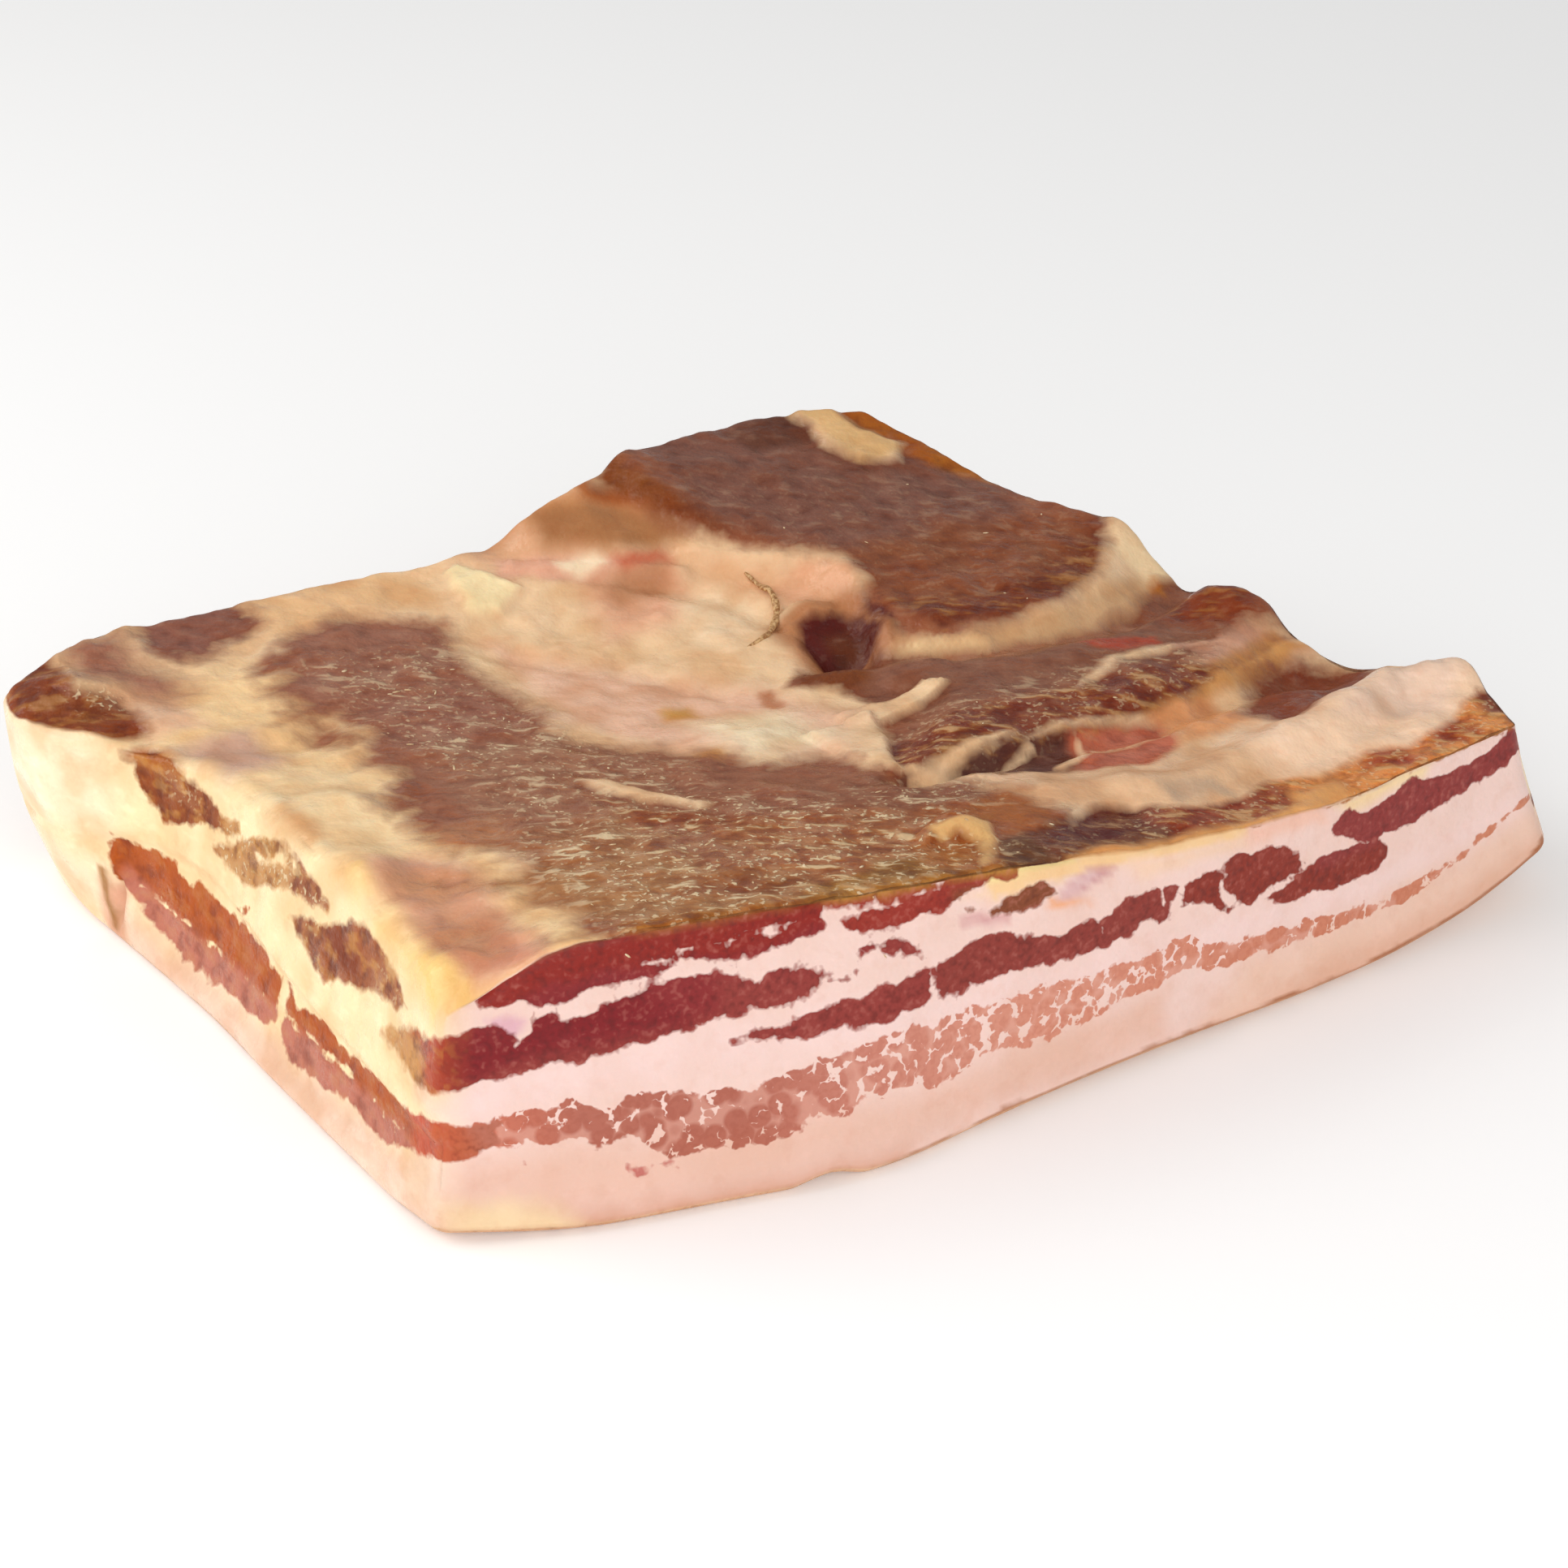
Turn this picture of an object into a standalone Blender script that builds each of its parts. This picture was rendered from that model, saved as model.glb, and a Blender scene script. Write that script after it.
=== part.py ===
"""A slab of flat-cured pancetta: one piece of pork belly lying on its rind.

The slab is modelled as a warped block. Its block coordinates are u, from left to right along the
fresh cut at the front, v, from front to back, and w, from the rind up to the flesh side. Curves in
plan give its four sides, height curves give the flesh side and the rind, and named muscles, folds
and cuts give the relief. The finished slab is centred on the origin and rests on z = 0.
"""

import math

import bmesh
import bpy
import numpy as np
from mathutils import Vector, noise

MM = 0.001

# The nominal block: width along the fresh cut, depth, and thickness, in millimetres.
WIDTH = 240.0
DEPTH = 180.0
THICKNESS = 48.0

# How many faces the block is cut into each way, and how far they crowd towards its edges.
FACES_WIDE = 56
FACES_DEEP = 42
FACES_HIGH = 9
EDGE_CROWDING = 0.25

# The flat rind keeps its small faces only this far in from its edges, as a share of each way.
RIND_BORDER = 0.06

# Edge rounding in millimetres: the knife leaves the upper edges sharp, the rind edge is soft.
RIND_EDGE_RADIUS = 3.5
UPPER_EDGE_RADIUS = 2.5

# Plan curves in millimetres, as (share of the way along, place): y of the front and back sides by u,
# and x of the left and right sides by v, at the top edge and at the foot.
FRONT_TOP = ((0, 4), (0.1, -1), (0.25, -6), (0.4, -7), (0.6, -3), (0.8, 5), (1, 14))
FRONT_FLARE = ((0, -3.5), (0.08, -6.5), (0.2, -7.2), (0.33, -8.2), (0.42, -4.5), (0.6, -1.5), (0.8, -2),
               (1, -3))
BACK_TOP = ((0, 163), (0.1, 171), (0.3, 172), (0.5, 169), (0.62, 168), (0.75, 176), (0.88, 179), (1, 172))
BACK_FLARE = 4.0
LEFT_TOP = ((0, -11), (0.2, -8), (0.4, -10), (0.6, -12), (0.75, -19), (0.88, -36), (0.95, -38), (1, -36))
LEFT_FOOT = ((0, -16), (0.2, -19), (0.4, -21.5), (0.55, -23), (0.7, -26), (0.8, -28), (0.9, -29), (1, -27))
RIGHT_TOP = ((0, 222), (0.15, 226), (0.27, 214), (0.35, 208), (0.48, 203), (0.58, 199), (0.65, 195),
             (0.75, 184), (0.9, 173), (1, 163))
RIGHT_FOOT = ((0, 231.5), (0.15, 236), (0.5, 212), (0.75, 196), (1, 168))
LEFT_BELLY = 2.4

# Height of the flesh side in millimetres: for each share of the depth, (share of the width, height).
FLESH_HEIGHT = (
    (0.0, ((0, 44), (0.03, 47.8), (0.06, 51.2), (0.1, 53.6), (0.15, 54.4), (0.22, 54.5), (0.28, 53.8),
           (0.4, 52), (0.5, 49.2), (0.61, 45.2), (0.72, 41.8), (0.8, 40.3), (0.9, 40.8), (1, 41.3))),
    (0.12, ((0, 45.6), (0.06, 48.8), (0.12, 51), (0.2, 52), (0.3, 51.2), (0.4, 49.6), (0.5, 47),
            (0.61, 43.9), (0.72, 41.6), (0.8, 40.8), (0.9, 40.4), (1, 40.2))),
    (0.33, ((0, 47), (0.25, 47), (0.5, 44), (0.75, 42), (1, 38.5))),
    (0.66, ((0, 44.5), (0.25, 43), (0.5, 40), (0.75, 44.5), (1, 45))),
    (0.85, ((0, 43.5), (0.25, 44.5), (0.5, 43), (0.62, 46.5), (0.75, 51), (0.88, 51), (1, 49))),
    (1.0, ((0, 43.5), (0.06, 46), (0.13, 46.8), (0.2, 46.2), (0.27, 47.2), (0.36, 48), (0.45, 48.6),
           (0.52, 50), (0.58, 54.5), (0.62, 58.5), (0.67, 60), (0.74, 57.5), (0.86, 56.5), (1, 57.4))),
)

# How far the rind curls up off the table towards the right end, by u, in millimetres: the share of it
# that is left at the back, and the little that the front edge lifts besides, as far in as its reach.
RIGHT_CURL = ((0, 0), (0.66, 0), (0.75, 0.3), (0.84, 1.4), (0.92, 5), (1, 12.5))
CURL_LEFT_AT_BACK = 0.3
FRONT_LIFT = ((0, 2), (0.12, 0), (0.255, 0), (0.287, 1.7), (0.315, 0), (0.36, 0), (0.5, 1.2), (0.62, 1.4),
              (0.72, 0.6), (0.9, 0.3), (1, 0))
FRONT_LIFT_REACH = 0.12

# Muscles that stand proud of the flesh side: their outlines in plan, in millimetres.
BACK_MUSCLE = ((100, 190), (103, 158), (110, 145), (128, 127), (131, 113), (129, 102), (143, 90),
               (163, 90), (182, 97), (194, 112), (215, 150), (190, 200))
MIDDLE_MUSCLE = ((106, 97), (142, 87), (175, 85), (200, 92), (207, 76), (184, 60), (158, 51),
                 (118, 45), (103, 45), (118, 62), (127, 74))
FRONT_MUSCLE = ((18, 153), (32, 161), (52, 142), (56, 110), (58, 84), (70, 62), (98, 43), (110, 32),
                (121, 10), (108, -20), (-2, -20), (9, 12), (10, 72), (14, 100), (9, 125), (13, 145))
BACK_MUSCLE_HEIGHT = 5.5
MIDDLE_MUSCLE_HEIGHT = 3.0
FRONT_MUSCLE_HEIGHT = 0.8
MUSCLE_EDGE = 5.0

# The roll of loose fat along the right of the flesh side, as its ridge line, and the hollow behind it.
FAT_ROLL = ((112, 36), (124, 24), (150, 20), (186, 30), (210, 40), (228, 37))
FAT_ROLL_HEIGHT = ((0, 1.0), (0.4, 3.0), (0.8, 4.6), (1, 4.2))
FAT_ROLL_REACH = 9.0
HOLLOW = (202, 56)
HOLLOW_SIZE = (20, 11)
HOLLOW_DEPTH = 4.5

# Folds where one layer laps another: ridge line in plan, depth and half width.
FOLDS = (
    (((66, 178), (76, 160), (95, 146), (110, 130), (116, 118)), 1.8, 6.0),
    (((136, 88), (150, 83), (170, 84), (190, 92), (205, 104)), 1.8, 6.0),
    (((100, 42), (130, 42), (160, 45), (190, 54)), 1.8, 5.5),
    (((20, 120), (5, 112), (-10, 118), (-22, 132)), 1.2, 7.0),
    (((62, 132), (84, 112), (98, 92)), 1.2, 6.0),
)

# The dark pocket between the muscles, with the lip that overhangs its back edge.
POCKET = (120, 101)
POCKET_SIZE = (12, 9)
POCKET_DEPTH = 4.5

# Soft mounds of fat: place in plan, radius and height.
MOUNDS = (
    ((-5, 52), 12, 2.4),
    ((-6, 14), 9, 2.0),
    ((3, 80), 13, 2.0),
    ((-24, 152), 13, 3.0),
    ((60, 152), 10, 1.6),
    ((95, 14), 8, 2.2),
    ((84, 78), 16, 1.5),
    ((206, 81), 19, 6.0),
    ((197, 113), 9, 3.0),
)

# The uneven swell of the flesh side.
SWELL_SIZE = 22.0
SWELL_HEIGHT = 0.7

# The old cut at the left: the lean streak and the dried patches have shrunk below the fat. Each is
# (place along y, height as a share of the thickness), with its half thickness in that share.
OLD_STREAK = ((2, 0.31), (12, 0.31), (35, 0.27), (58, 0.26), (80, 0.30), (100, 0.34), (119, 0.38),
              (131, 0.48))
OLD_STREAK_HALF = ((0, 0.10), (12, 0.09), (35, 0.14), (80, 0.18), (119, 0.17), (131, 0.05), (140, 0))
OLD_STREAK_DEPTH = 1.3
SLIT = (129, 0.22)
SLIT_SIZE = (2.2, 0.16)
SLIT_DEPTH = 3.5


def spline(keys, place):
    """A smooth curve through (place, value) keys, read at each place."""
    places, values = (np.array(column, float) for column in zip(*keys))
    slopes = np.gradient(values, places)
    return hermite(places, values, slopes, place)


def hermite(places, values, slopes, place):
    """The cubic between the two keys that each place lies between."""
    place = np.clip(place, places[0], places[-1])
    i = np.clip(np.searchsorted(places, place, side="right") - 1, 0, len(places) - 2)
    gap = places[i + 1] - places[i]
    s = (place - places[i]) / gap

    def pick(table, k):
        return table[k] if table.ndim == 1 else np.take_along_axis(table, k[None], 0)[0]

    return ((1 + 2 * s) * (1 - s) ** 2 * pick(values, i) + s * (1 - s) ** 2 * gap * pick(slopes, i)
            + s * s * (3 - 2 * s) * pick(values, i + 1) + s * s * (s - 1) * gap * pick(slopes, i + 1))


def height_net(rows, u, v):
    """A smooth surface through rows of (share of the depth, width keys)."""
    places = np.array([place for place, _ in rows])
    values = np.array([spline(keys, u) for _, keys in rows])
    return hermite(places, values, np.gradient(values, places, axis=0), v)


def mix(a, b, share):
    return a + (b - a) * share


def smooth(low, high, value):
    """0 at low, 1 at high, and a smooth step between them."""
    share = np.clip((value - low) / (high - low), 0, 1)
    return share * share * (3 - 2 * share)


def bump(distance):
    """1 at distance 0, falling smoothly to 0 at distance 1."""
    return (1 - smooth(0, 1, distance))


def from_line(line, x, y):
    """Distance from each point to a line of straight runs, and how far along it the nearest place is."""
    ends = [np.array(point, float) for point in line]
    lengths = [np.linalg.norm(b - a) for a, b in zip(ends, ends[1:])]
    nearest = np.full(x.shape, np.inf)
    along = np.zeros(x.shape)
    passed = 0.0
    for a, b, length in zip(ends, ends[1:], lengths):
        run = (b - a) / length
        t = np.clip((x - a[0]) * run[0] + (y - a[1]) * run[1], 0, length)
        distance = np.hypot(x - a[0] - t * run[0], y - a[1] - t * run[1])
        closer = distance < nearest
        nearest = np.where(closer, distance, nearest)
        along = np.where(closer, (passed + t) / sum(lengths), along)
        passed += length
    return nearest, along


def inside(outline, x, y):
    """Distance in from a closed outline: above 0 within it and below 0 outside."""
    closed = (*outline, outline[0])
    distance, _ = from_line(closed, x, y)
    within = np.zeros(x.shape, bool)
    for (ax, ay), (bx, by) in zip(closed, closed[1:]):
        crosses = (ay > y) != (by > y)
        reach = ax + (y - ay) * (bx - ax) / (by - ay if by != ay else 1)
        within ^= crosses & (x < reach)
    return np.where(within, distance, -distance)


def swell(x, y, z, size, seed):
    """Smooth uneven swelling from about -1 to 1, with swells of the given size."""
    points = np.stack([x / size + seed, y / size - seed, z / size + 2 * seed], 1)
    return np.array([noise.noise(Vector(point)) for point in points])


def rounded(u, v, w):
    """Moves block coordinates on the block's surface inwards, where its edges are rounded."""
    radius = mix(RIND_EDGE_RADIUS, UPPER_EDGE_RADIUS, smooth(0, 0.5, w))
    size = np.array([WIDTH, DEPTH, THICKNESS])
    place = np.stack([u, v, w], 1) * size
    core = np.clip(place, radius[:, None], size - radius[:, None])
    out = place - core
    reach = np.linalg.norm(out, axis=1, keepdims=True)
    return ((core + out / reach * radius[:, None]) / size).T


def block_point(u, v, w):
    """Where block coordinates lie in the slab, in millimetres."""
    low = 1 - w
    belly = LEFT_BELLY * np.sin(math.pi * w) * smooth(0.7, 0.95, v)
    left = mix(spline(LEFT_TOP, v), spline(LEFT_FOOT, v), low) - belly
    right = mix(spline(RIGHT_TOP, v), spline(RIGHT_FOOT, v), low)
    front = spline(FRONT_TOP, u) + spline(FRONT_FLARE, u) * low
    back = spline(BACK_TOP, u) + BACK_FLARE * low
    curl = np.maximum(spline(RIGHT_CURL, u), 0) * mix(1, CURL_LEFT_AT_BACK, v)
    foot = curl + np.maximum(spline(FRONT_LIFT, u), 0) * smooth(FRONT_LIFT_REACH, 0, v)
    x, y = mix(left, right, u), mix(front, back, v)
    return x, y, mix(foot, height_net(FLESH_HEIGHT, u, v) + flesh_relief(x, y), w)


def flesh_relief(x, y):
    """How far the flesh side stands above its height curves, in millimetres."""
    rise = np.zeros(x.shape)
    for outline, height in ((BACK_MUSCLE, BACK_MUSCLE_HEIGHT), (MIDDLE_MUSCLE, MIDDLE_MUSCLE_HEIGHT),
                            (FRONT_MUSCLE, FRONT_MUSCLE_HEIGHT)):
        rise += height * smooth(-MUSCLE_EDGE, MUSCLE_EDGE, inside(outline, x, y))
    distance, along = from_line(FAT_ROLL, x, y)
    rise += spline(FAT_ROLL_HEIGHT, along) * bump(distance / FAT_ROLL_REACH)
    hollow = np.hypot((x - HOLLOW[0]) / HOLLOW_SIZE[0], (y - HOLLOW[1]) / HOLLOW_SIZE[1])
    rise -= HOLLOW_DEPTH * bump(hollow)
    for line, depth, half_width in FOLDS:
        rise -= depth * bump(from_line(line, x, y)[0] / half_width)
    pocket = np.hypot((x - POCKET[0]) / POCKET_SIZE[0], (y - POCKET[1]) / POCKET_SIZE[1])
    rise -= POCKET_DEPTH * bump(pocket)
    for (mound_x, mound_y), radius, height in MOUNDS:
        rise += height * bump(np.hypot(x - mound_x, y - mound_y) / radius)
    return rise


def old_cut_relief(y, w):
    """How far the old cut's surface stands out, in millimetres: its lean has shrunk below the fat."""
    streak = (spline(OLD_STREAK_HALF, y) - np.abs(w - spline(OLD_STREAK, y))) * THICKNESS
    slit = np.hypot((y - SLIT[0]) / SLIT_SIZE[0], (w - SLIT[1]) / SLIT_SIZE[1])
    return -OLD_STREAK_DEPTH * smooth(-1.5, 1.5, streak) - SLIT_DEPTH * bump(slit)


def crowd(share):
    """Moves evenly spaced shares towards 0 and 1, so that faces are smaller near the block's edges."""
    return share - EDGE_CROWDING * np.sin(2 * math.pi * share) / (2 * math.pi)


def cut_block():
    """A unit block, from 0 to 1 each way, with its six sides cut into faces."""
    bm = bmesh.new()
    bmesh.ops.create_cube(bm, size=1)
    bmesh.ops.translate(bm, vec=(0.5, 0.5, 0.5), verts=bm.verts)
    for axis, faces in enumerate((FACES_WIDE, FACES_DEEP, FACES_HIGH)):
        along = [e for e in bm.edges if abs(e.verts[0].co[axis] - e.verts[1].co[axis]) > 0.5]
        bmesh.ops.subdivide_edges(bm, edges=along, cuts=faces - 1, use_grid_fill=True)
    return bm


def coarsen_rind(bm):
    """Joins the small faces of the flat rind, which has no relief, all but those along its edges."""
    def is_inner(share):
        return RIND_BORDER < share < 1 - RIND_BORDER

    inner = [v for v in bm.verts if v.co.z < 1e-4 and is_inner(v.co.x) and is_inner(v.co.y)]
    bmesh.ops.unsubdivide(bm, verts=inner, iterations=4)


def shape_slab(bm):
    """Warps the cut block into the slab and adds its relief."""
    unit = np.array([v.co[:] for v in bm.verts])
    u, v, w = unit.T
    x, y, z = block_point(*rounded(crowd(u), crowd(v), w))
    on_old_cut = (u < 1e-4) & (w < 1 - 1e-4)
    z = z + w * SWELL_HEIGHT * swell(x, y, 0 * z, SWELL_SIZE, 3)
    x = x - np.where(on_old_cut, old_cut_relief(y, w), 0)
    for vertex, place in zip(bm.verts, np.stack([x, y, z], 1)):
        vertex.co = place * MM


def centre_on_origin(bm):
    """Puts the middle of the slab's box over the origin, with its lowest point at z = 0."""
    places = np.array([v.co[:] for v in bm.verts])
    low, high = places.min(0), places.max(0)
    shift = Vector((-(low[0] + high[0]) / 2, -(low[1] + high[1]) / 2, -low[2]))
    bmesh.ops.translate(bm, vec=shift, verts=bm.verts)


def cured_belly_material():
    """The cured meat's overall colour and its slightly greasy surface."""
    material = bpy.data.materials.new("cured_belly")
    material.use_nodes = True
    shader = material.node_tree.nodes["Principled BSDF"]
    shader.inputs["Base Color"].default_value = (0.42, 0.21, 0.13, 1)
    shader.inputs["Roughness"].default_value = 0.45
    shader.inputs["Metallic"].default_value = 0.0
    return material


def make_slab():
    """The slab, one solid out to its relief."""
    bm = cut_block()
    bm.normal_update()
    coarsen_rind(bm)
    shape_slab(bm)
    centre_on_origin(bm)
    bmesh.ops.recalc_face_normals(bm, faces=bm.faces)
    mesh = bpy.data.meshes.new("pancetta_slab")
    bm.to_mesh(mesh)
    bm.free()
    mesh.materials.append(cured_belly_material())
    mesh.shade_smooth()
    slab = bpy.data.objects.new("pancetta_slab", mesh)
    bpy.context.scene.collection.objects.link(slab)
    return slab


for leftover in list(bpy.data.objects):
    bpy.data.objects.remove(leftover)
make_slab()
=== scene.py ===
"""A slab of flat-cured pancetta, dressed for its portrait.

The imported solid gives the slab's size and place. The slab is shaped again here from the same plan and
height curves, in much smaller faces, and painted with what lies where on each of its sides: fat, lean,
the granular streak, dried patches and salt. Lengths called mm are in the slab's own plan, whose origin
is the near corner at the table: x along the fresh cut, y along the old cut into the depth. Places on
the cuts are (x or y in mm, height as a share of the thickness).
"""

import math

import bmesh
import bpy
import numpy as np
from mathutils import Matrix, Vector, noise


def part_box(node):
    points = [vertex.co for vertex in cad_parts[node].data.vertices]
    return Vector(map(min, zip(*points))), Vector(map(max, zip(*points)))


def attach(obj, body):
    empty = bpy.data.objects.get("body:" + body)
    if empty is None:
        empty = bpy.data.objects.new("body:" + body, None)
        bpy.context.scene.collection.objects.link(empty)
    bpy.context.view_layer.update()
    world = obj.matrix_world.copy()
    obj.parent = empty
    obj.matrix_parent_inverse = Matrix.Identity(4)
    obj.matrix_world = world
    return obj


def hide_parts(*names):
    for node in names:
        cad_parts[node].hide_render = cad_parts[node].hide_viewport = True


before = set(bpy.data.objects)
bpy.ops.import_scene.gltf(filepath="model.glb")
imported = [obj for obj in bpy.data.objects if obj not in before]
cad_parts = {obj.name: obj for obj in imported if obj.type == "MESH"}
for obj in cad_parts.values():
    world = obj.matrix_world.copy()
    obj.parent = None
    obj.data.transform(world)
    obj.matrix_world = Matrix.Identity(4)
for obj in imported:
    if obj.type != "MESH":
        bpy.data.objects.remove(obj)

bl_info = {
    "name": "Pancetta slab",
    "version": (1, 0, 0),
    "blender": (4, 5, 0),
    "location": "View3D > Sidebar > Pancetta",
    "description": "Makes a slab of flat-cured pancetta with its cuts, fat, sinew and salt",
    "category": "Object",
}

MM = 0.001

# The nominal block: width along the fresh cut, depth, and thickness, in millimetres.
WIDTH = 240.0
DEPTH = 180.0
THICKNESS = 48.0

# How many faces the block is cut into each way, and how far they crowd towards its edges.
FACES_WIDE = 240
FACES_DEEP = 180
FACES_HIGH = 40
EDGE_CROWDING = 0.25
RIND_BORDER = 0.03

# Edge rounding in millimetres: the knife leaves the upper edges sharp, the rind edge is soft.
RIND_EDGE_RADIUS = 3.5
SOLID_UPPER_EDGE_RADIUS = 2.5
EDGE_RADIUS = ((0, 3.5), (0.2, 4.2), (0.75, 3.8), (0.9, 2.4), (1, 1.3))
OLD_CUT_UPPER_RADIUS = 3.5
CORNER_BLEND = 6.0

# Plan curves in millimetres, as (share of the way along, place).
FRONT_TOP = ((0, 4), (0.1, -1), (0.25, -6), (0.4, -7), (0.6, -3), (0.8, 5), (1, 14))
FRONT_FLARE = ((0, -3.5), (0.08, -6.5), (0.2, -7.2), (0.33, -8.2), (0.42, -4.5), (0.6, -1.5), (0.8, -2),
               (1, -3))
BACK_TOP = ((0, 163), (0.1, 171), (0.3, 172), (0.5, 169), (0.62, 168), (0.75, 176), (0.88, 179), (1, 172))
BACK_FLARE = 4.0
LEFT_TOP = ((0, -11), (0.2, -8), (0.4, -10), (0.6, -12), (0.75, -19), (0.88, -36), (0.95, -38), (1, -36))
LEFT_FOOT = ((0, -16), (0.2, -19), (0.4, -21.5), (0.55, -23), (0.7, -26), (0.8, -28), (0.9, -29), (1, -27))
RIGHT_TOP = ((0, 222), (0.15, 226), (0.27, 214), (0.35, 208), (0.48, 203), (0.58, 199), (0.65, 195),
             (0.75, 184), (0.9, 173), (1, 163))
RIGHT_FOOT = ((0, 231.5), (0.15, 236), (0.5, 212), (0.75, 196), (1, 168))
LEFT_BELLY = 2.4

# Height of the flesh side in millimetres: for each share of the depth, (share of the width, height).
FLESH_HEIGHT = (
    (0.0, ((0, 44), (0.03, 47.8), (0.06, 51.2), (0.1, 53.6), (0.15, 54.4), (0.22, 54.5), (0.28, 53.8),
           (0.4, 52), (0.5, 49.2), (0.61, 45.2), (0.72, 41.8), (0.8, 40.3), (0.9, 40.8), (1, 41.3))),
    (0.12, ((0, 45.6), (0.06, 48.8), (0.12, 51), (0.2, 52), (0.3, 51.2), (0.4, 49.6), (0.5, 47),
            (0.61, 43.9), (0.72, 41.6), (0.8, 40.8), (0.9, 40.4), (1, 40.2))),
    (0.33, ((0, 47), (0.25, 47), (0.5, 44), (0.75, 42), (1, 38.5))),
    (0.66, ((0, 44.5), (0.25, 43), (0.5, 40), (0.75, 44.5), (1, 45))),
    (0.85, ((0, 43.5), (0.25, 44.5), (0.5, 43), (0.62, 46.5), (0.75, 51), (0.88, 51), (1, 49))),
    (1.0, ((0, 43.5), (0.06, 46), (0.13, 46.8), (0.2, 46.2), (0.27, 47.2), (0.36, 48), (0.45, 48.6),
           (0.52, 50), (0.58, 54.5), (0.62, 58.5), (0.67, 60), (0.74, 57.5), (0.86, 56.5), (1, 57.4))),
)

# How far the rind curls up off the table towards the right end, by share of the width.
RIGHT_CURL = ((0, 0), (0.66, 0), (0.75, 0.3), (0.84, 1.4), (0.92, 5), (1, 12.5))
CURL_LEFT_AT_BACK = 0.3
FRONT_LIFT = ((0, 2), (0.12, 0), (0.255, 0), (0.287, 1.7), (0.315, 0), (0.36, 0), (0.5, 1.2), (0.62, 1.4),
              (0.72, 0.6), (0.9, 0.3), (1, 0))
FRONT_LIFT_REACH = 0.12

# Muscles that stand proud of the flesh side: their outlines in plan, in millimetres.
BACK_MUSCLE = ((100, 190), (103, 158), (110, 145), (128, 127), (131, 113), (129, 102), (143, 90),
               (163, 90), (182, 97), (194, 112), (215, 150), (190, 200))
MIDDLE_MUSCLE = ((106, 97), (142, 87), (175, 85), (200, 92), (207, 76), (184, 60), (158, 51),
                 (118, 45), (103, 45), (118, 62), (127, 74))
FRONT_MUSCLE = ((18, 153), (32, 161), (52, 142), (56, 110), (58, 84), (70, 62), (98, 43), (110, 32),
                (121, 10), (108, -20), (-2, -20), (9, 12), (10, 72), (14, 100), (9, 125), (13, 145))
BACK_MUSCLE_HEIGHT = 5.5
MIDDLE_MUSCLE_HEIGHT = 3.0
FRONT_MUSCLE_HEIGHT = 0.8
MUSCLE_EDGE = 5.0

# The roll of loose fat along the right of the flesh side, as its ridge line, and the hollow behind it.
FAT_ROLL = ((112, 36), (124, 24), (150, 20), (186, 30), (210, 40), (228, 37))
FAT_ROLL_HEIGHT = ((0, 1.0), (0.4, 3.0), (0.8, 4.6), (1, 4.2))
FAT_ROLL_REACH = 9.0
HOLLOW = (202, 56)
HOLLOW_SIZE = (20, 11)
HOLLOW_DEPTH = 4.5

# Folds where one layer laps another: ridge line in plan, depth and half width.
FOLDS = (
    (((66, 178), (76, 160), (95, 146), (110, 130), (116, 118)), 1.8, 6.0),
    (((136, 88), (150, 83), (170, 84), (190, 92), (205, 104)), 1.8, 6.0),
    (((100, 42), (130, 42), (160, 45), (190, 54)), 1.8, 5.5),
    (((20, 120), (5, 112), (-10, 118), (-22, 132)), 1.2, 7.0),
    (((62, 132), (84, 112), (98, 92)), 1.2, 6.0),
)
POCKET = (120, 101)
POCKET_SIZE = (12, 9)
POCKET_DEPTH = 4.5

# Soft mounds of fat: place in plan, radius and height.
MOUNDS = (
    ((-5, 52), 12, 2.4),
    ((-6, 14), 9, 2.0),
    ((3, 80), 13, 2.0),
    ((-24, 152), 13, 3.0),
    ((60, 152), 10, 1.6),
    ((95, 14), 8, 2.2),
    ((84, 78), 16, 1.5),
    ((206, 81), 19, 6.0),
    ((197, 113), 9, 3.0),
)
SWELL_SIZE = 22.0
SWELL_HEIGHT = 0.7

# The old cut at the left: its lean has shrunk below the fat, and the skin is slit at the back.
OLD_STREAK = ((2, 0.31), (12, 0.31), (35, 0.27), (58, 0.26), (80, 0.30), (100, 0.34), (119, 0.38),
              (131, 0.48))
OLD_STREAK_HALF = ((0, 0.10), (12, 0.09), (35, 0.14), (80, 0.18), (119, 0.17), (131, 0.05), (140, 0))
OLD_STREAK_DEPTH = 1.3
SLIT = (129, 0.22)
SLIT_SIZE = (2.2, 0.16)
SLIT_DEPTH = 3.5

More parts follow.
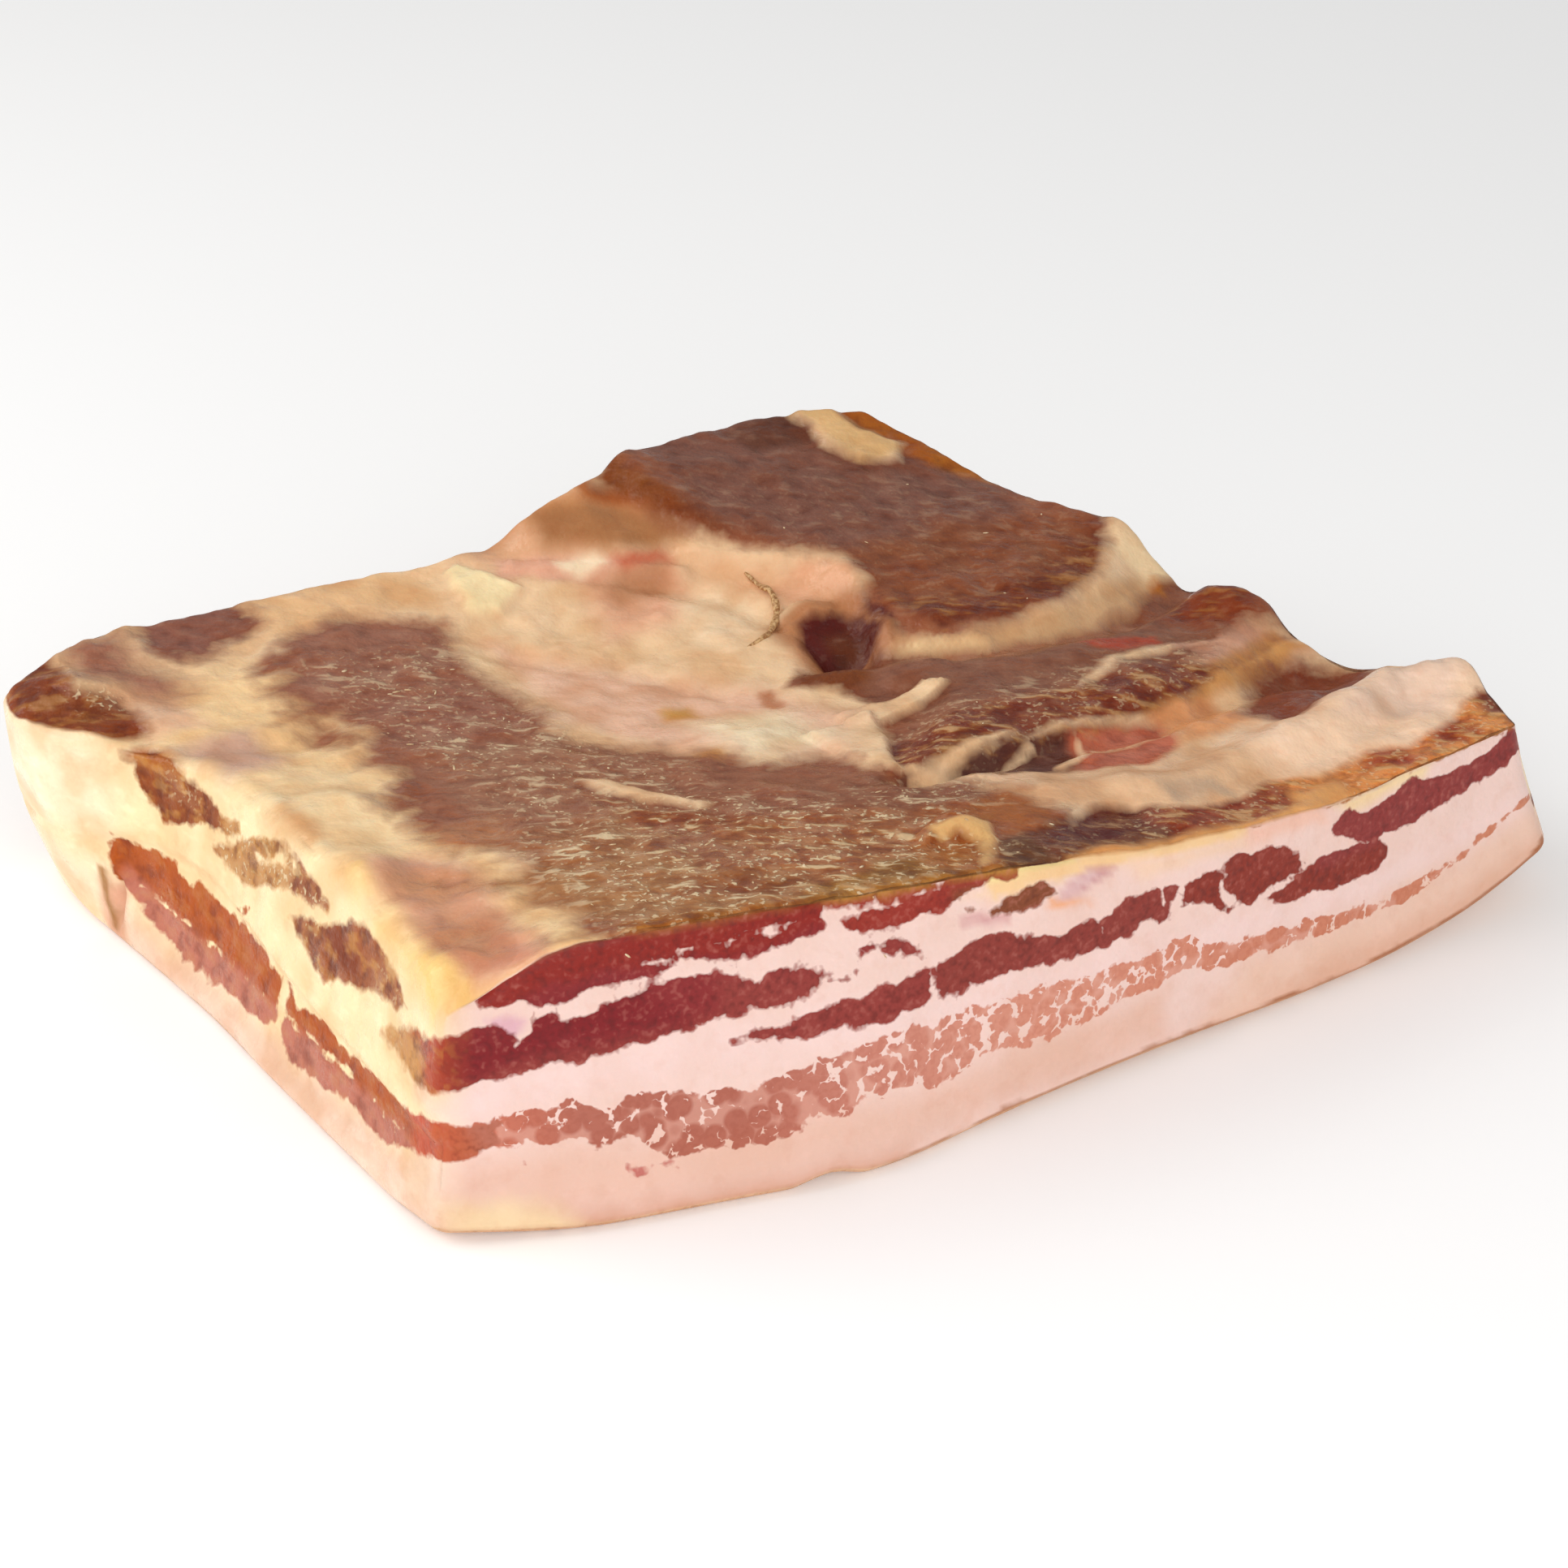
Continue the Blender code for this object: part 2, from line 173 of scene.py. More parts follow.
# Lean on the flesh side: outline in plan and how soft its edge is, in millimetres.
LEAN_ON_TOP = (
    # the back left corner
    (((-45, 175), (-24, 172), (-24.5, 150.5), (-17, 146.5), (-17, 131.5), (-20, 130.5), (-24, 132.5),
      (-30, 135.5), (-36, 141), (-45, 148)), 1.0),
    # the dried edge of the old cut, where it reaches the flesh side
    (((-23.5, 129.5), (-20, 126.5), (-16.5, 119), (-15.5, 109.5), (-16, 91), (-30, 88), (-32, 118)), 1.2),
    # the thin muscle at the back left, under a veil of fat
    (((-6, 180), (-6.5, 161), (0, 153.5), (5, 153), (9, 157.5), (18.5, 160), (19.5, 166.5), (14, 180)), 1.6),
    (((-22, 172), (-23.5, 153.5), (-16, 149.5), (-10, 142), (-3, 142), (-5, 150), (-8.5, 159), (-8, 172)),
     3.0),
    # the large front muscle
    (((17, 150), (11, 147), (10, 143), (15, 141), (10, 137), (8, 134), (12, 129), (6, 122), (17, 120),
      (19, 110), (16, 100), (17, 90.5), (13, 80.5), (11, 70.5), (9, 60), (11, 49.5), (12.5, 42), (21.5, 41),
      (20.5, 36.5), (11.5, 35), (10.5, 31.5), (15, 29), (12, 23.5), (9.5, 19), (11, 10), (9, 2.5), (16, -1),
      (24, -20), (140, -20), (120, 6.5), (117, 27), (113, 31), (110, 35), (103, 38.5), (104, 44), (100, 48),
      (97, 54), (94, 62), (88, 62), (82, 61), (78, 68.5), (72, 73.5), (67, 80.5), (60, 85.5), (55, 90),
      (52, 96), (54, 104), (54, 112), (50, 128.5), (51, 137.5), (53, 143), (53, 149.5), (46.5, 153),
      (39.5, 156.5), (34.5, 158.5), (25.5, 157), (20, 154.5)), 1.7),
    # the back muscle
    (((98.5, 170.5), (96, 166.5), (98.5, 164), (101, 161), (103.5, 157), (105.5, 152.5), (110, 148),
      (113, 144), (118, 140), (124, 134), (130, 130), (134, 125), (133, 118), (130, 112), (129, 105),
      (133, 98), (140, 92), (148, 91), (158, 92), (170, 95.5), (179.5, 101), (185, 106.5), (190.5, 115.5),
      (215, 150), (190, 200), (104, 200)), 1.2),
    # the middle muscle
    (((104, 96), (110, 102), (115.5, 97), (126, 100), (133, 93), (142, 88), (150, 87), (160, 86),
      (172, 88.5), (183.5, 93.5), (195, 102.5), (215, 100), (220, 70), (204, 69), (196, 66), (184, 60),
      (172, 54), (160, 50), (140, 50), (126, 47), (106, 45), (101, 47), (100, 52), (108, 60), (110, 70),
      (114, 78), (112, 88)), 0.8),
    # the pocket beside the back muscle, laid as lean; its dark tints are painted shade in the hollow
    (((117, 116), (121, 116.5), (126.5, 115), (130, 110), (130, 103), (127, 101), (121, 99.5), (117, 100),
      (115.5, 105), (114.5, 109)), 0.7),
    # the dark lean in the hollow behind the fat roll, and what shows under the middle muscle
    (((176.5, 41.5), (182.5, 49), (190, 60), (198, 64), (209, 61.5), (220, 55), (213.5, 47.5), (206, 43),
      (184.5, 32.5)), 1.5),
    (((102, 38), (113, 43.5), (117.5, 46), (124.5, 48), (140.5, 49), (151, 49), (161, 47.5), (158.5, 35),
      (150, 31.5), (140, 31), (130, 34), (120, 35.5), (112, 39)), 0.8),
    # the ragged dark fringe in front of the fat roll, and the gold fringe along the edge to its right
    (((104, -20), (106.5, -2.5), (109, 6.5), (117, 10.5), (124, 15.5), (133, 15.5), (140, 11), (150, 10),
      (158, 12), (165, 15), (175, 13), (190, 18), (200, 17), (210, 21), (224, 29.5), (240, 20), (230, -20)),
     0.6),
    # fingers of lean that show through the fat to its left
    (((7, 127), (14, 122), (17, 118), (16, 115), (9, 121)), 1.6),
    (((9, 118), (15, 117), (20, 108), (14, 105), (9, 112)), 1.8),
    (((14, 101), (24.5, 97), (28, 85), (20, 86.5), (13, 95)), 2.0),
    (((8, 79), (20, 80), (28, 72), (19, 69.5), (9, 72.5)), 2.2),
    (((-4, 46), (4, 47.5), (12, 39), (13, 33), (4, 34), (-4, 40)), 3.0),
    (((-4, 28), (2, 29), (7, 20), (1, 11), (-5, 19)), 4.0),
)

# Fat lying over that lean.
FAT_ON_TOP = (
    (((45, 69.5), (50, 67.5), (54, 58), (60, 49), (62, 47), (60, 45.5), (56, 49), (51, 55), (47, 63.5)), 0.7),
    (((97, 62), (98, 55), (100, 47), (101.5, 45), (103, 51), (107, 60), (110, 70), (104, 72), (97, 70)), 0.5),
    (((104, 71), (112, 69.5), (120, 71), (125, 73), (129, 75), (125, 79), (119, 77), (112, 76), (104, 77)),
     0.5),
    (((19.5, 45.5), (21.5, 41), (15.5, 40), (7.5, 40.5), (8, 48.5), (14, 49.5)), 1.5),
    (((11, 23.5), (15.5, 18.5), (17, 10.5), (13, 0.5), (7.5, 1), (7, 24)), 1.5),
    (((89, 13), (94.5, 12.5), (100.5, 11), (98.5, 6), (91.5, -4.5), (89.5, -5), (95, 5.5), (93, 9.5),
      (88, 9)), 0.5),
    (((148, 177), (150, 164.5), (155, 157), (162, 154), (166, 159.5), (159.5, 167), (156, 177)), 0.8),
    (((150, 61), (156, 66), (164, 70.5), (176, 72), (190, 71), (190, 69), (176, 70), (165, 68), (157, 64)),
     0.7),
    (((180, 63), (190, 71), (200, 73), (206, 71), (199, 68), (186, 61)), 2.0),
    (((106, 44), (112, 46), (118, 48.5), (124, 50), (129, 50), (124, 48.4), (116, 45), (112, 43)), 0.5),
    (((118, 38), (123, 43), (131, 46.5), (131.5, 45.6), (124, 42), (119, 37)), 0.4),
    (((130, 36), (138, 40), (141, 46), (142, 45.6), (139.5, 39), (131, 35)), 0.4),
    (((143, 43), (150, 41), (160, 42.5), (160, 41.6), (150, 40), (142.5, 42)), 0.4),
    (((100, -20), (108, -4.5), (122, -1.5), (131, -1.5), (140, 0), (148, 2), (156, 3), (164, 5.5), (166, 10),
      (172, 10), (178, 12), (176, -20)), 0.8),
)

# Tints of the lean of the flesh side: outline, softness and colour as it looks in daylight.
LEAN_TINTS_ON_TOP = (
    (((-60, 190), (260, 190), (260, -40), (-60, -40)), 1, (157, 101, 77)),
    (((-45, 175), (-24, 172), (-20, 149.5), (-15, 128.5), (-45, 128)), 3, (140, 74, 44)),
    (((-45, 165), (-32, 158), (-28.5, 149), (-45, 150)), 4, (122, 66, 40)),
    (((-32, 128.5), (-15, 128.5), (-15, 84), (-32, 84)), 2, (172, 90, 43)),
    (((-9, 180), (-9, 149.5), (22, 150), (22, 180)), 4, (146, 96, 81)),
    (((-24, 172), (-22, 149), (-8, 138.5), (2, 142), (-6, 149.5), (-8, 172)), 3, (168, 115, 94)),
    (((13.5, 161), (54.5, 160), (55, 128.5), (14, 128)), 5, (160, 108, 88)),
    (((22, 125), (52, 125.5), (56, 60), (26, 60.5)), 8, (159, 105, 86)),
    (((10, 119), (17, 119), (17, 107), (10, 107)), 2.5, (161, 90, 59)),
    (((26, 96), (50, 96), (64, 62.5), (41.5, 43.5), (20, 60.5)), 7, (163, 111, 86)),
    (((5, 60), (24, 60.5), (24, 49.5), (5, 49.5)), 4, (189, 133, 97)),
    (((20, 47.5), (44, 47.5), (44, -10), (20, -10)), 8, (172, 115, 76)),
    (((44, 62.5), (50, 50), (59.5, 40.5), (71.5, 32), (83, 20), (77, 16), (59.5, 29), (45.5, 43.5)), 2.5,
     (157, 82, 45)),
    (((54.5, 33), (99.5, 29), (111, 13), (100, -20), (45, -20), (49, 18)), 8, (170, 105, 67)),
    (((84, 43.5), (98, 46), (112, 32), (111.5, 21), (91, 22.5)), 5, (149, 94, 70)),
    (((91, 24.5), (118, 28), (117, 10.5), (95.5, 9)), 3, (172, 101, 56)),
    (((9.5, 36), (22.5, 36.5), (24, 33.5), (21, 29), (9.5, 29.5)), 1.5, (151, 90, 47)),
    (((21.5, 1), (59, -1.5), (94.5, 1.5), (104, -20), (16, -20)), 2.5, (172, 109, 52)),
    (((54, -1.5), (93.5, 0.5), (100, -20), (50, -20)), 1.5, (178, 124, 62)),
    (((65, -3.5), (73, 4), (86.5, 3.5), (87, -6)), 2, (154, 104, 54)),
    (((94.5, 5), (111, 7.5), (113, -20), (92, -20)), 1.5, (113, 72, 50)),
    (((101, 200), (96, 166.5), (103.5, 157), (113, 144), (118, 146), (104, 168.5), (110, 200)), 2,
     (138, 78, 43)),
    (((108, 200), (112, 150), (134, 128), (169.5, 121), (184, 140), (176, 172), (160, 200)), 6,
     (134, 90, 76)),
    (((130, 126), (159.5, 129.5), (192, 122), (185, 102.5), (150, 100), (132, 106)), 5, (144, 86, 59)),
    (((134, 108), (140, 92), (158, 91), (175.5, 96.5), (189, 110), (196, 122), (183, 114.5), (167.5, 105),
      (150, 103)), 3, (127, 66, 32)),
    (((130, 177), (134, 167.5), (149, 167.5), (150, 178)), 2, (112, 72, 58)),
    (((148, 200), (150, 167.5), (159.5, 169), (164, 159.5), (172, 148), (184, 138), (200, 150), (190, 200)),
     2, (170, 101, 45)),
    (((181, 102.5), (190.5, 110), (194, 122), (200, 118), (195, 98.5)), 1.5, (201, 131, 59)),
    (((103, 100), (126, 101), (134, 92), (150, 86), (195, 85), (195.5, 69.5), (160, 66), (128, 64),
      (112, 72)), 4, (144, 96, 76)),
    (((130, 98), (150, 92), (179.5, 95.5), (181.5, 87), (150, 82), (128, 86)), 3, (180, 132, 108)),
    (((103, 57), (128, 62), (150, 62), (180, 66), (186, 58), (160, 48), (126, 45), (100, 44)), 3,
     (134, 64, 32)),
    (((160.5, 79.5), (168, 78), (178, 76), (178, 72.5), (166, 73)), 1.2, (180, 80, 58)),
    (((183.5, 83), (189.5, 77), (200, 73), (212, 90), (194, 87.5)), 3, (136, 68, 40)),
    (((100, 44), (124, 49), (142, 50), (140, 43), (130, 32), (112, 35)), 1.5, (108, 68, 59)),
    (((140, 50), (162, 49), (159, 33), (150, 30), (133, 31), (138, 42)), 1.5, (204, 122, 100)),
    (((176.5, 41.5), (190, 62), (220, 66), (217.5, 42), (184.5, 30)), 4, (140, 74, 49)),
    (((105, 6), (124, 15.5), (134, 16), (150, 11), (150, -20), (106, -20)), 2, (119, 64, 38)),
    (((109, 6.5), (123.5, 14.5), (135, 15), (134.5, 3), (110.5, 1)), 1.5, (104, 47, 25)),
    # painted shade: the lean in the pocket beside the back muscle, darkened in its hollow
    (((112, 118), (132, 118), (132.5, 99), (112, 97)), 0.5, (100, 47, 32)),
    (((121, 112), (127, 112), (127, 104), (121, 104)), 2, (106, 60, 42)),
    (((107, 102), (115, 103), (125, 99), (118, 86), (111, 84), (106, 92)), 2.5, (128, 74, 46)),
    (((134, 11.5), (168, 15), (170, -20), (132, -20)), 3, (157, 70, 36)),
    (((166, 16), (190, 19), (226, 32), (232, -20), (162, -20)), 2.5, (237, 154, 88)),
    (((184, 12), (190, 19), (198, 17), (196, 9)), 2, (172, 74, 36)),
    (((203, 14), (208, 22), (216, 22), (214, 12)), 2, (176, 80, 41)),
    (((219, 20), (224, 32), (236, 36), (236, 18)), 1.5, (146, 70, 36)),
    (((-10, 50), (10, 52), (16, 36), (12, 8), (-8, 8)), 3, (206, 156, 122)),
    (((5, 128), (14, 124), (20, 108), (14, 103), (6, 112)), 2, (160, 100, 72)),
    (((110, 48.5), (119, 51), (134, 49.5), (152, 50), (165, 53), (165, 51), (150, 48), (134, 48), (120, 48.5),
      (110, 46.5)), 1.0, (148, 92, 54)),
    (((11, 34), (17, 35.5), (24, 33), (31, 30.5), (37, 24.5), (48, 13), (59, 2.5), (57, -4.5), (40, -3.5),
      (27, 2.5), (13, 10), (14.5, 20.5)), 3, (176, 122, 80)),
    (((33, 7), (54, -1.5), (58.5, 3), (42.5, 11.5)), 2.5, (156, 92, 54)),
    (((82, 9), (89, 16.5), (96.5, 20), (105, 18), (92.5, -5.5), (86, -5), (80, -1)), 1.5, (172, 104, 52)),
)

# Tints of the fat of the flesh side.
FAT_TINTS_ON_TOP = (
    (((-60, 190), (260, 190), (260, -40), (-60, -40)), 1, (241, 203, 160)),
    (((-30.5, 149), (10, 150), (22, 130), (16, 60.5), (20, -20), (-30, -20)), 6, (249, 209, 156)),
    (((-20, 149.5), (-8, 149.5), (-6, 128.5), (-18, 128.5)), 4, (229, 183, 146)),
    (((-16, 122.5), (0, 122.5), (2, 106), (-12, 102)), 4, (209, 165, 140)),
    (((9.5, 170), (24, 176), (56, 168.5), (55.5, 156.5), (21.5, 157)), 4, (235, 189, 140)),
    (((-15.5, 99.5), (10, 96), (6, 60), (-12.5, 63)), 6, (252, 219, 170)),
    (((-9, 13.5), (-6, 52), (6, 54), (11.5, 43.5), (7, 1.5), (-0.5, 2.5)), 4, (225, 169, 138)),
    (((-6, 26.5), (8, 24), (6.5, 0.5), (-4.5, 7)), 3, (215, 147, 116)),
    (((-14, 24), (-6, 24), (-4.5, 3.5), (-14, 2)), 2, (245, 199, 124)),
    (((-10, 55.5), (-6, 52), (-6, 44), (-10, 47.5)), 2, (241, 187, 102)),
    (((-14.5, 44.5), (-6, 42), (-6, 22), (-16, 22)), 3, (252, 215, 160)),
    (((50, 140.5), (54, 128.5), (58, 108), (56, 92), (68, 82.5), (64, 100), (64, 130.5)), 4, (247, 213, 166)),
    (((58, 140), (80, 118), (100, 98), (108, 76), (96, 60), (70, 76.5), (56, 98)), 6, (239, 191, 160)),
    (((78, 90), (98, 86), (100, 66), (80, 66.5)), 6, (252, 226, 186)),
    (((60, 176), (95.5, 169), (105.5, 155), (71.5, 155)), 5, (219, 167, 128)),
    (((77.5, 169), (91, 167.5), (102, 158.5), (93, 154)), 4, (207, 143, 94)),
    (((71, 163.5), (81.5, 158), (91.5, 153), (104, 145), (102, 142), (87.5, 147), (69.5, 158.5)), 1.5,
     (228, 172, 142)),
    (((81.5, 156), (89.5, 154.5), (91.5, 151), (83.5, 150.5)), 1.2, (249, 221, 184)),
    (((83.5, 149), (104, 147.5), (104.5, 129), (82, 130.5)), 5, (227, 171, 136)),
    (((92.5, 152), (102.5, 150.5), (104, 146), (93.5, 146.5)), 2, (203, 115, 86)),
    (((86.5, 148), (101, 146.5), (101, 139.5), (88, 139)), 3, (199, 143, 106)),
    (((60, 164), (59, 149.5), (65, 147.5), (72.5, 152.5), (68.5, 158.5), (63, 165.5)), 1.0, (252, 225, 174)),
    (((98.5, 139), (112, 134.5), (112.5, 118.5), (98, 120)), 4, (243, 211, 172)),
    (((106, 148.5), (112, 142), (122, 134), (132, 126), (128, 118), (116, 128.5), (104, 142)), 3,
     (235, 191, 150)),
    (((118, 130.5), (128, 130), (134, 122), (128, 114), (120, 120)), 2, (225, 169, 130)),
    (((115, 121.5), (120, 122.5), (127, 118), (125, 114), (114.5, 115.5)), 1.0, (249, 219, 178)),
    (((76, 98), (83, 98), (83, 92), (76, 92)), 2, (217, 157, 82)),
    (((71, 72.5), (77, 72.5), (77, 66.5), (71, 66.5)), 2, (217, 153, 82)),
    (((98, 98), (101, 97), (100, 88), (97, 88.5)), 1.2, (193, 127, 90)),
    (((127, 106), (126, 99), (131, 93.5), (135.5, 85), (143, 82.5), (146, 90), (134, 97), (131, 104)), 0.8,
     (235, 197, 148)),
    (((140, 92), (160, 92), (179.5, 96.5), (202, 114), (206, 106), (181, 83), (150, 84)), 2, (217, 173, 128)),
    (((189, 110), (206, 122), (212, 108), (196.5, 96)), 3, (243, 211, 166)),
    (((178, 79.5), (199.5, 74), (209, 64.5), (180, 60)), 3, (219, 167, 138)),
    (((158, 58), (176, 56), (177.5, 37.5), (160, 36)), 3, (225, 157, 106)),
    (((158, 50), (182, 62), (202.5, 71), (208.5, 66), (186, 56)), 1.5, (217, 157, 96)),
    (((111.5, 38.5), (150.5, 34.5), (168, 32), (170, 10), (139.5, 5.5), (117.5, 19.5)), 3, (233, 189, 148)),
    (((165, 34), (230, 48), (234, 18), (168, 12)), 4, (251, 211, 176)),
    (((190, 29.5), (213.5, 42.5), (225.5, 37.5), (214, 26)), 3, (238, 204, 178)),
    (((140, 19), (152, 17), (156, 12), (142, 13)), 1.5, (203, 169, 138)),
    (((90, 22.5), (100.5, 23), (100, 7), (89.5, 6)), 1.5, (231, 185, 124)),
    (((148, 178), (156, 178), (166, 157.5), (154, 154)), 2, (225, 181, 126)),
    (((82, 167), (95, 163.5), (107.5, 154.5), (109.5, 149), (104, 149.5), (91, 154), (81, 160)), 2.5,
     (174, 120, 80)),
    (((100, 200), (96, 167.5), (104.5, 163.5), (108, 154), (102, 158), (92, 166)), 2, (179, 103, 56)),
    (((100, -20), (106, 0), (131, 3), (148, 6), (166, 13), (182, 14), (180, -20)), 1.5, (227, 165, 104)),
    (((-14, 88), (-7, 85), (-6, 68), (-13, 66)), 2.5, (214, 148, 92)),
    (((82, 9), (89, 16.5), (96.5, 20), (105, 18), (92.5, -5.5), (86, -5), (80, -1)), 1.5, (224, 176, 116)),
    # painted shade: the fat in the pocket beside the back muscle, darkened in its hollow
    (((111, 119), (121, 122), (131, 118), (134, 108), (132, 98), (121, 96), (112, 98)), 2.5, (188, 130, 90)),
)

# Raised edges and hollows of the flesh side that are too small for the solid: outline, softness, height.
RISES_ON_TOP = (
    (((60, 164), (59, 149.5), (65, 147.5), (72.5, 152.5), (68.5, 158.5), (63, 165.5)), 0.9, 1.3),
    (((45, 69.5), (50, 67.5), (54, 58), (60, 49), (62, 47), (60, 45.5), (56, 49), (51, 55), (47, 63.5)), 1.2,
     0.6),
    (((95, 72), (98, 55), (100, 47), (101.5, 45), (103, 51), (107, 60), (110, 72)), 0.8, 1.5),
    (((104, 77), (104, 71), (112, 69.5), (120, 71), (125, 73), (129, 75), (125, 79), (119, 77)), 0.8, 1.5),
    (((73, 162), (81.5, 157), (89.5, 152), (98, 147.5), (106, 143), (104, 141), (87.5, 149), (72, 159)), 1.0,
     1.4),
    (((106, 148.5), (113, 142), (124, 133), (122, 131), (110, 141), (104, 146.5)), 1.0, 1.5),
    (((115, 121.5), (120, 122.5), (127, 118), (125, 114.5), (114.5, 115.5)), 0.8, 1.6),
    (((127, 107), (126, 99), (131, 93), (138, 89), (146, 86), (147, 89), (135, 96), (131, 104)), 0.9, 1.0),
    (((86, 12.5), (92.5, 16.5), (97, 14), (101.5, 11), (97.5, 4.5), (94, 9), (90.5, 10), (85, 7.5)), 1.0,
     1.3),
    (((148, 178), (150, 164.5), (155, 157), (162, 154), (166, 159.5), (159.5, 167), (156, 178)), 1.2, 0.8),
    (((109, 7.5), (124, 15.5), (135, 15), (132.5, 4), (110.5, 2)), 1.2, -0.9),
    (((116, 113), (122, 115), (128, 111), (129, 105), (126, 102), (118, 102), (115.5, 106)), 2.2, -1.3),
    (((101, 43.5), (112, 44), (128, 45), (140, 48), (140, 46.5), (128, 43), (109.5, 38)), 0.8, -1.0),
)

# The fresh cut. Dark lean, as (x in mm, share of the thickness) outlines with the softness of each edge.
LEAN_ON_FRESH_CUT = (
    # the red streak under the top edge
    (((-6, 0.973), (2, 0.874), (4, 0.832), (8, 0.82), (18, 0.827), (30, 0.837), (40, 0.843), (50, 0.857),
      (57, 0.878), (56, 0.917), (60, 1.1), (-6, 1.1)), 0.3),
    (((60, 0.9), (66, 0.927), (72, 0.937), (80, 0.945), (84, 1.1), (96, 1.1), (88, 0.924), (84, 0.896),
      (78, 0.87), (70, 0.847), (62, 0.862)), 0.3),
    (((56, 0.956), (64, 0.952), (79.5, 0.957), (96, 0.942), (96, 1.2), (56, 1.2)), 0.4),
    # the left dark streak
    (((-12, 0.88), (-5, 0.887), (-2, 0.828), (-1, 0.775), (0, 0.715), (2, 0.745), (3, 0.788), (6, 0.794),
      (8, 0.758), (14, 0.755), (20, 0.785), (24, 0.802), (27, 0.806), (30, 0.79), (36, 0.787), (41, 0.762),
      (43, 0.74), (45, 0.766), (49, 0.78), (54, 0.748), (57.5, 0.72), (61.5, 0.726), (61.5, 0.697),
      (48, 0.67), (30, 0.638), (9.5, 0.603), (-6, 0.625), (-14, 0.63)), 0.3),
    (((62, 0.78), (66, 0.802), (70, 0.809), (75, 0.766), (75, 0.728), (72, 0.74), (70, 0.765)), 0.3),
    # the long dark streak to its right
    (((38, 0.577), (44, 0.603), (49.5, 0.599), (59.5, 0.616), (63.5, 0.63), (65.5, 0.658), (72, 0.672),
      (77, 0.667), (79, 0.695), (84, 0.721), (90, 0.748), (95, 0.736), (98, 0.706), (103, 0.677),
      (108, 0.697), (114, 0.719), (119, 0.75), (123, 0.791), (128, 0.794), (133, 0.777), (132, 0.708),
      (131, 0.619), (129, 0.598), (128, 0.637), (124, 0.635), (118, 0.602), (116, 0.572), (108, 0.579),
      (90, 0.571), (80, 0.573), (76, 0.562), (69.5, 0.54), (51.5, 0.524), (46.5, 0.546)), 0.3),
    (((135, 0.768), (138, 0.809), (141, 0.821), (144, 0.785), (143, 0.697), (146, 0.602), (145, 0.582),
      (142, 0.628), (138, 0.672), (134, 0.669)), 0.3),
    (((144, 0.843), (147, 0.864), (151, 0.858), (156, 0.87), (160, 0.836), (163, 0.781), (164, 0.717),
      (162, 0.677), (158, 0.664), (154, 0.621), (150, 0.579), (147, 0.642), (145, 0.699)), 0.3),
    (((165, 0.68), (168, 0.72), (172, 0.733), (180, 0.71), (184, 0.693), (187, 0.639), (187, 0.575),
      (184, 0.537), (178, 0.529), (172, 0.537), (160, 0.552), (154, 0.593)), 0.3),
    (((171, 0.881), (174, 0.928), (177, 0.938), (178, 0.902), (181, 0.876), (186, 0.877), (190, 0.913),
      (194, 0.932), (199, 0.887), (206, 0.87), (213, 0.889), (217, 0.916), (220, 0.981), (224, 0.90),
      (224, 0.80), (219, 0.755), (207, 0.727), (200, 0.716), (193, 0.687), (182, 0.702), (178, 0.746),
      (175, 0.809), (172, 0.835)), 0.3),
    (((86, 0.837), (92, 0.859), (97, 0.893), (101, 0.898), (104, 0.844), (100, 0.815), (94, 0.825)), 0.4),
    (((17.5, 0.225), (21.5, 0.203), (25.5, 0.188), (25.5, 0.178), (20.5, 0.188), (17.5, 0.212)), 0.3),
    (((-1.5, 0.292), (0.5, 0.276), (0.5, 0.286), (-0.5, 0.296)), 0.3),
    # the left end of the granular streak, which runs round the near corner
    (((-20, 0.49), (-14, 0.485), (-9, 0.462), (-4, 0.455), (-2, 0.43), (-5, 0.40), (-2.5, 0.368), (-7, 0.348),
      (-13, 0.338), (-20, 0.33)), 0.35),
    # the crust of the flesh side, seen at the top edge to the right
    (((152, 0.985), (170, 0.985), (200, 0.987), (224, 0.985), (224, 1.2), (152, 1.2)), 0.4),
)
FAT_ON_FRESH_CUT = (
    (((77, 0.716), (78, 0.715), (77.5, 0.551), (76.5, 0.552)), 0.25),
    (((113, 0.738), (114, 0.738), (115.5, 0.64), (114.5, 0.64)), 0.25),
    (((128.5, 0.814), (129.5, 0.814), (131, 0.687), (130, 0.687)), 0.25),
    (((22, 0.878), (40, 0.911), (52, 0.916), (52, 0.908), (40, 0.901), (22, 0.87)), 0.3),
)
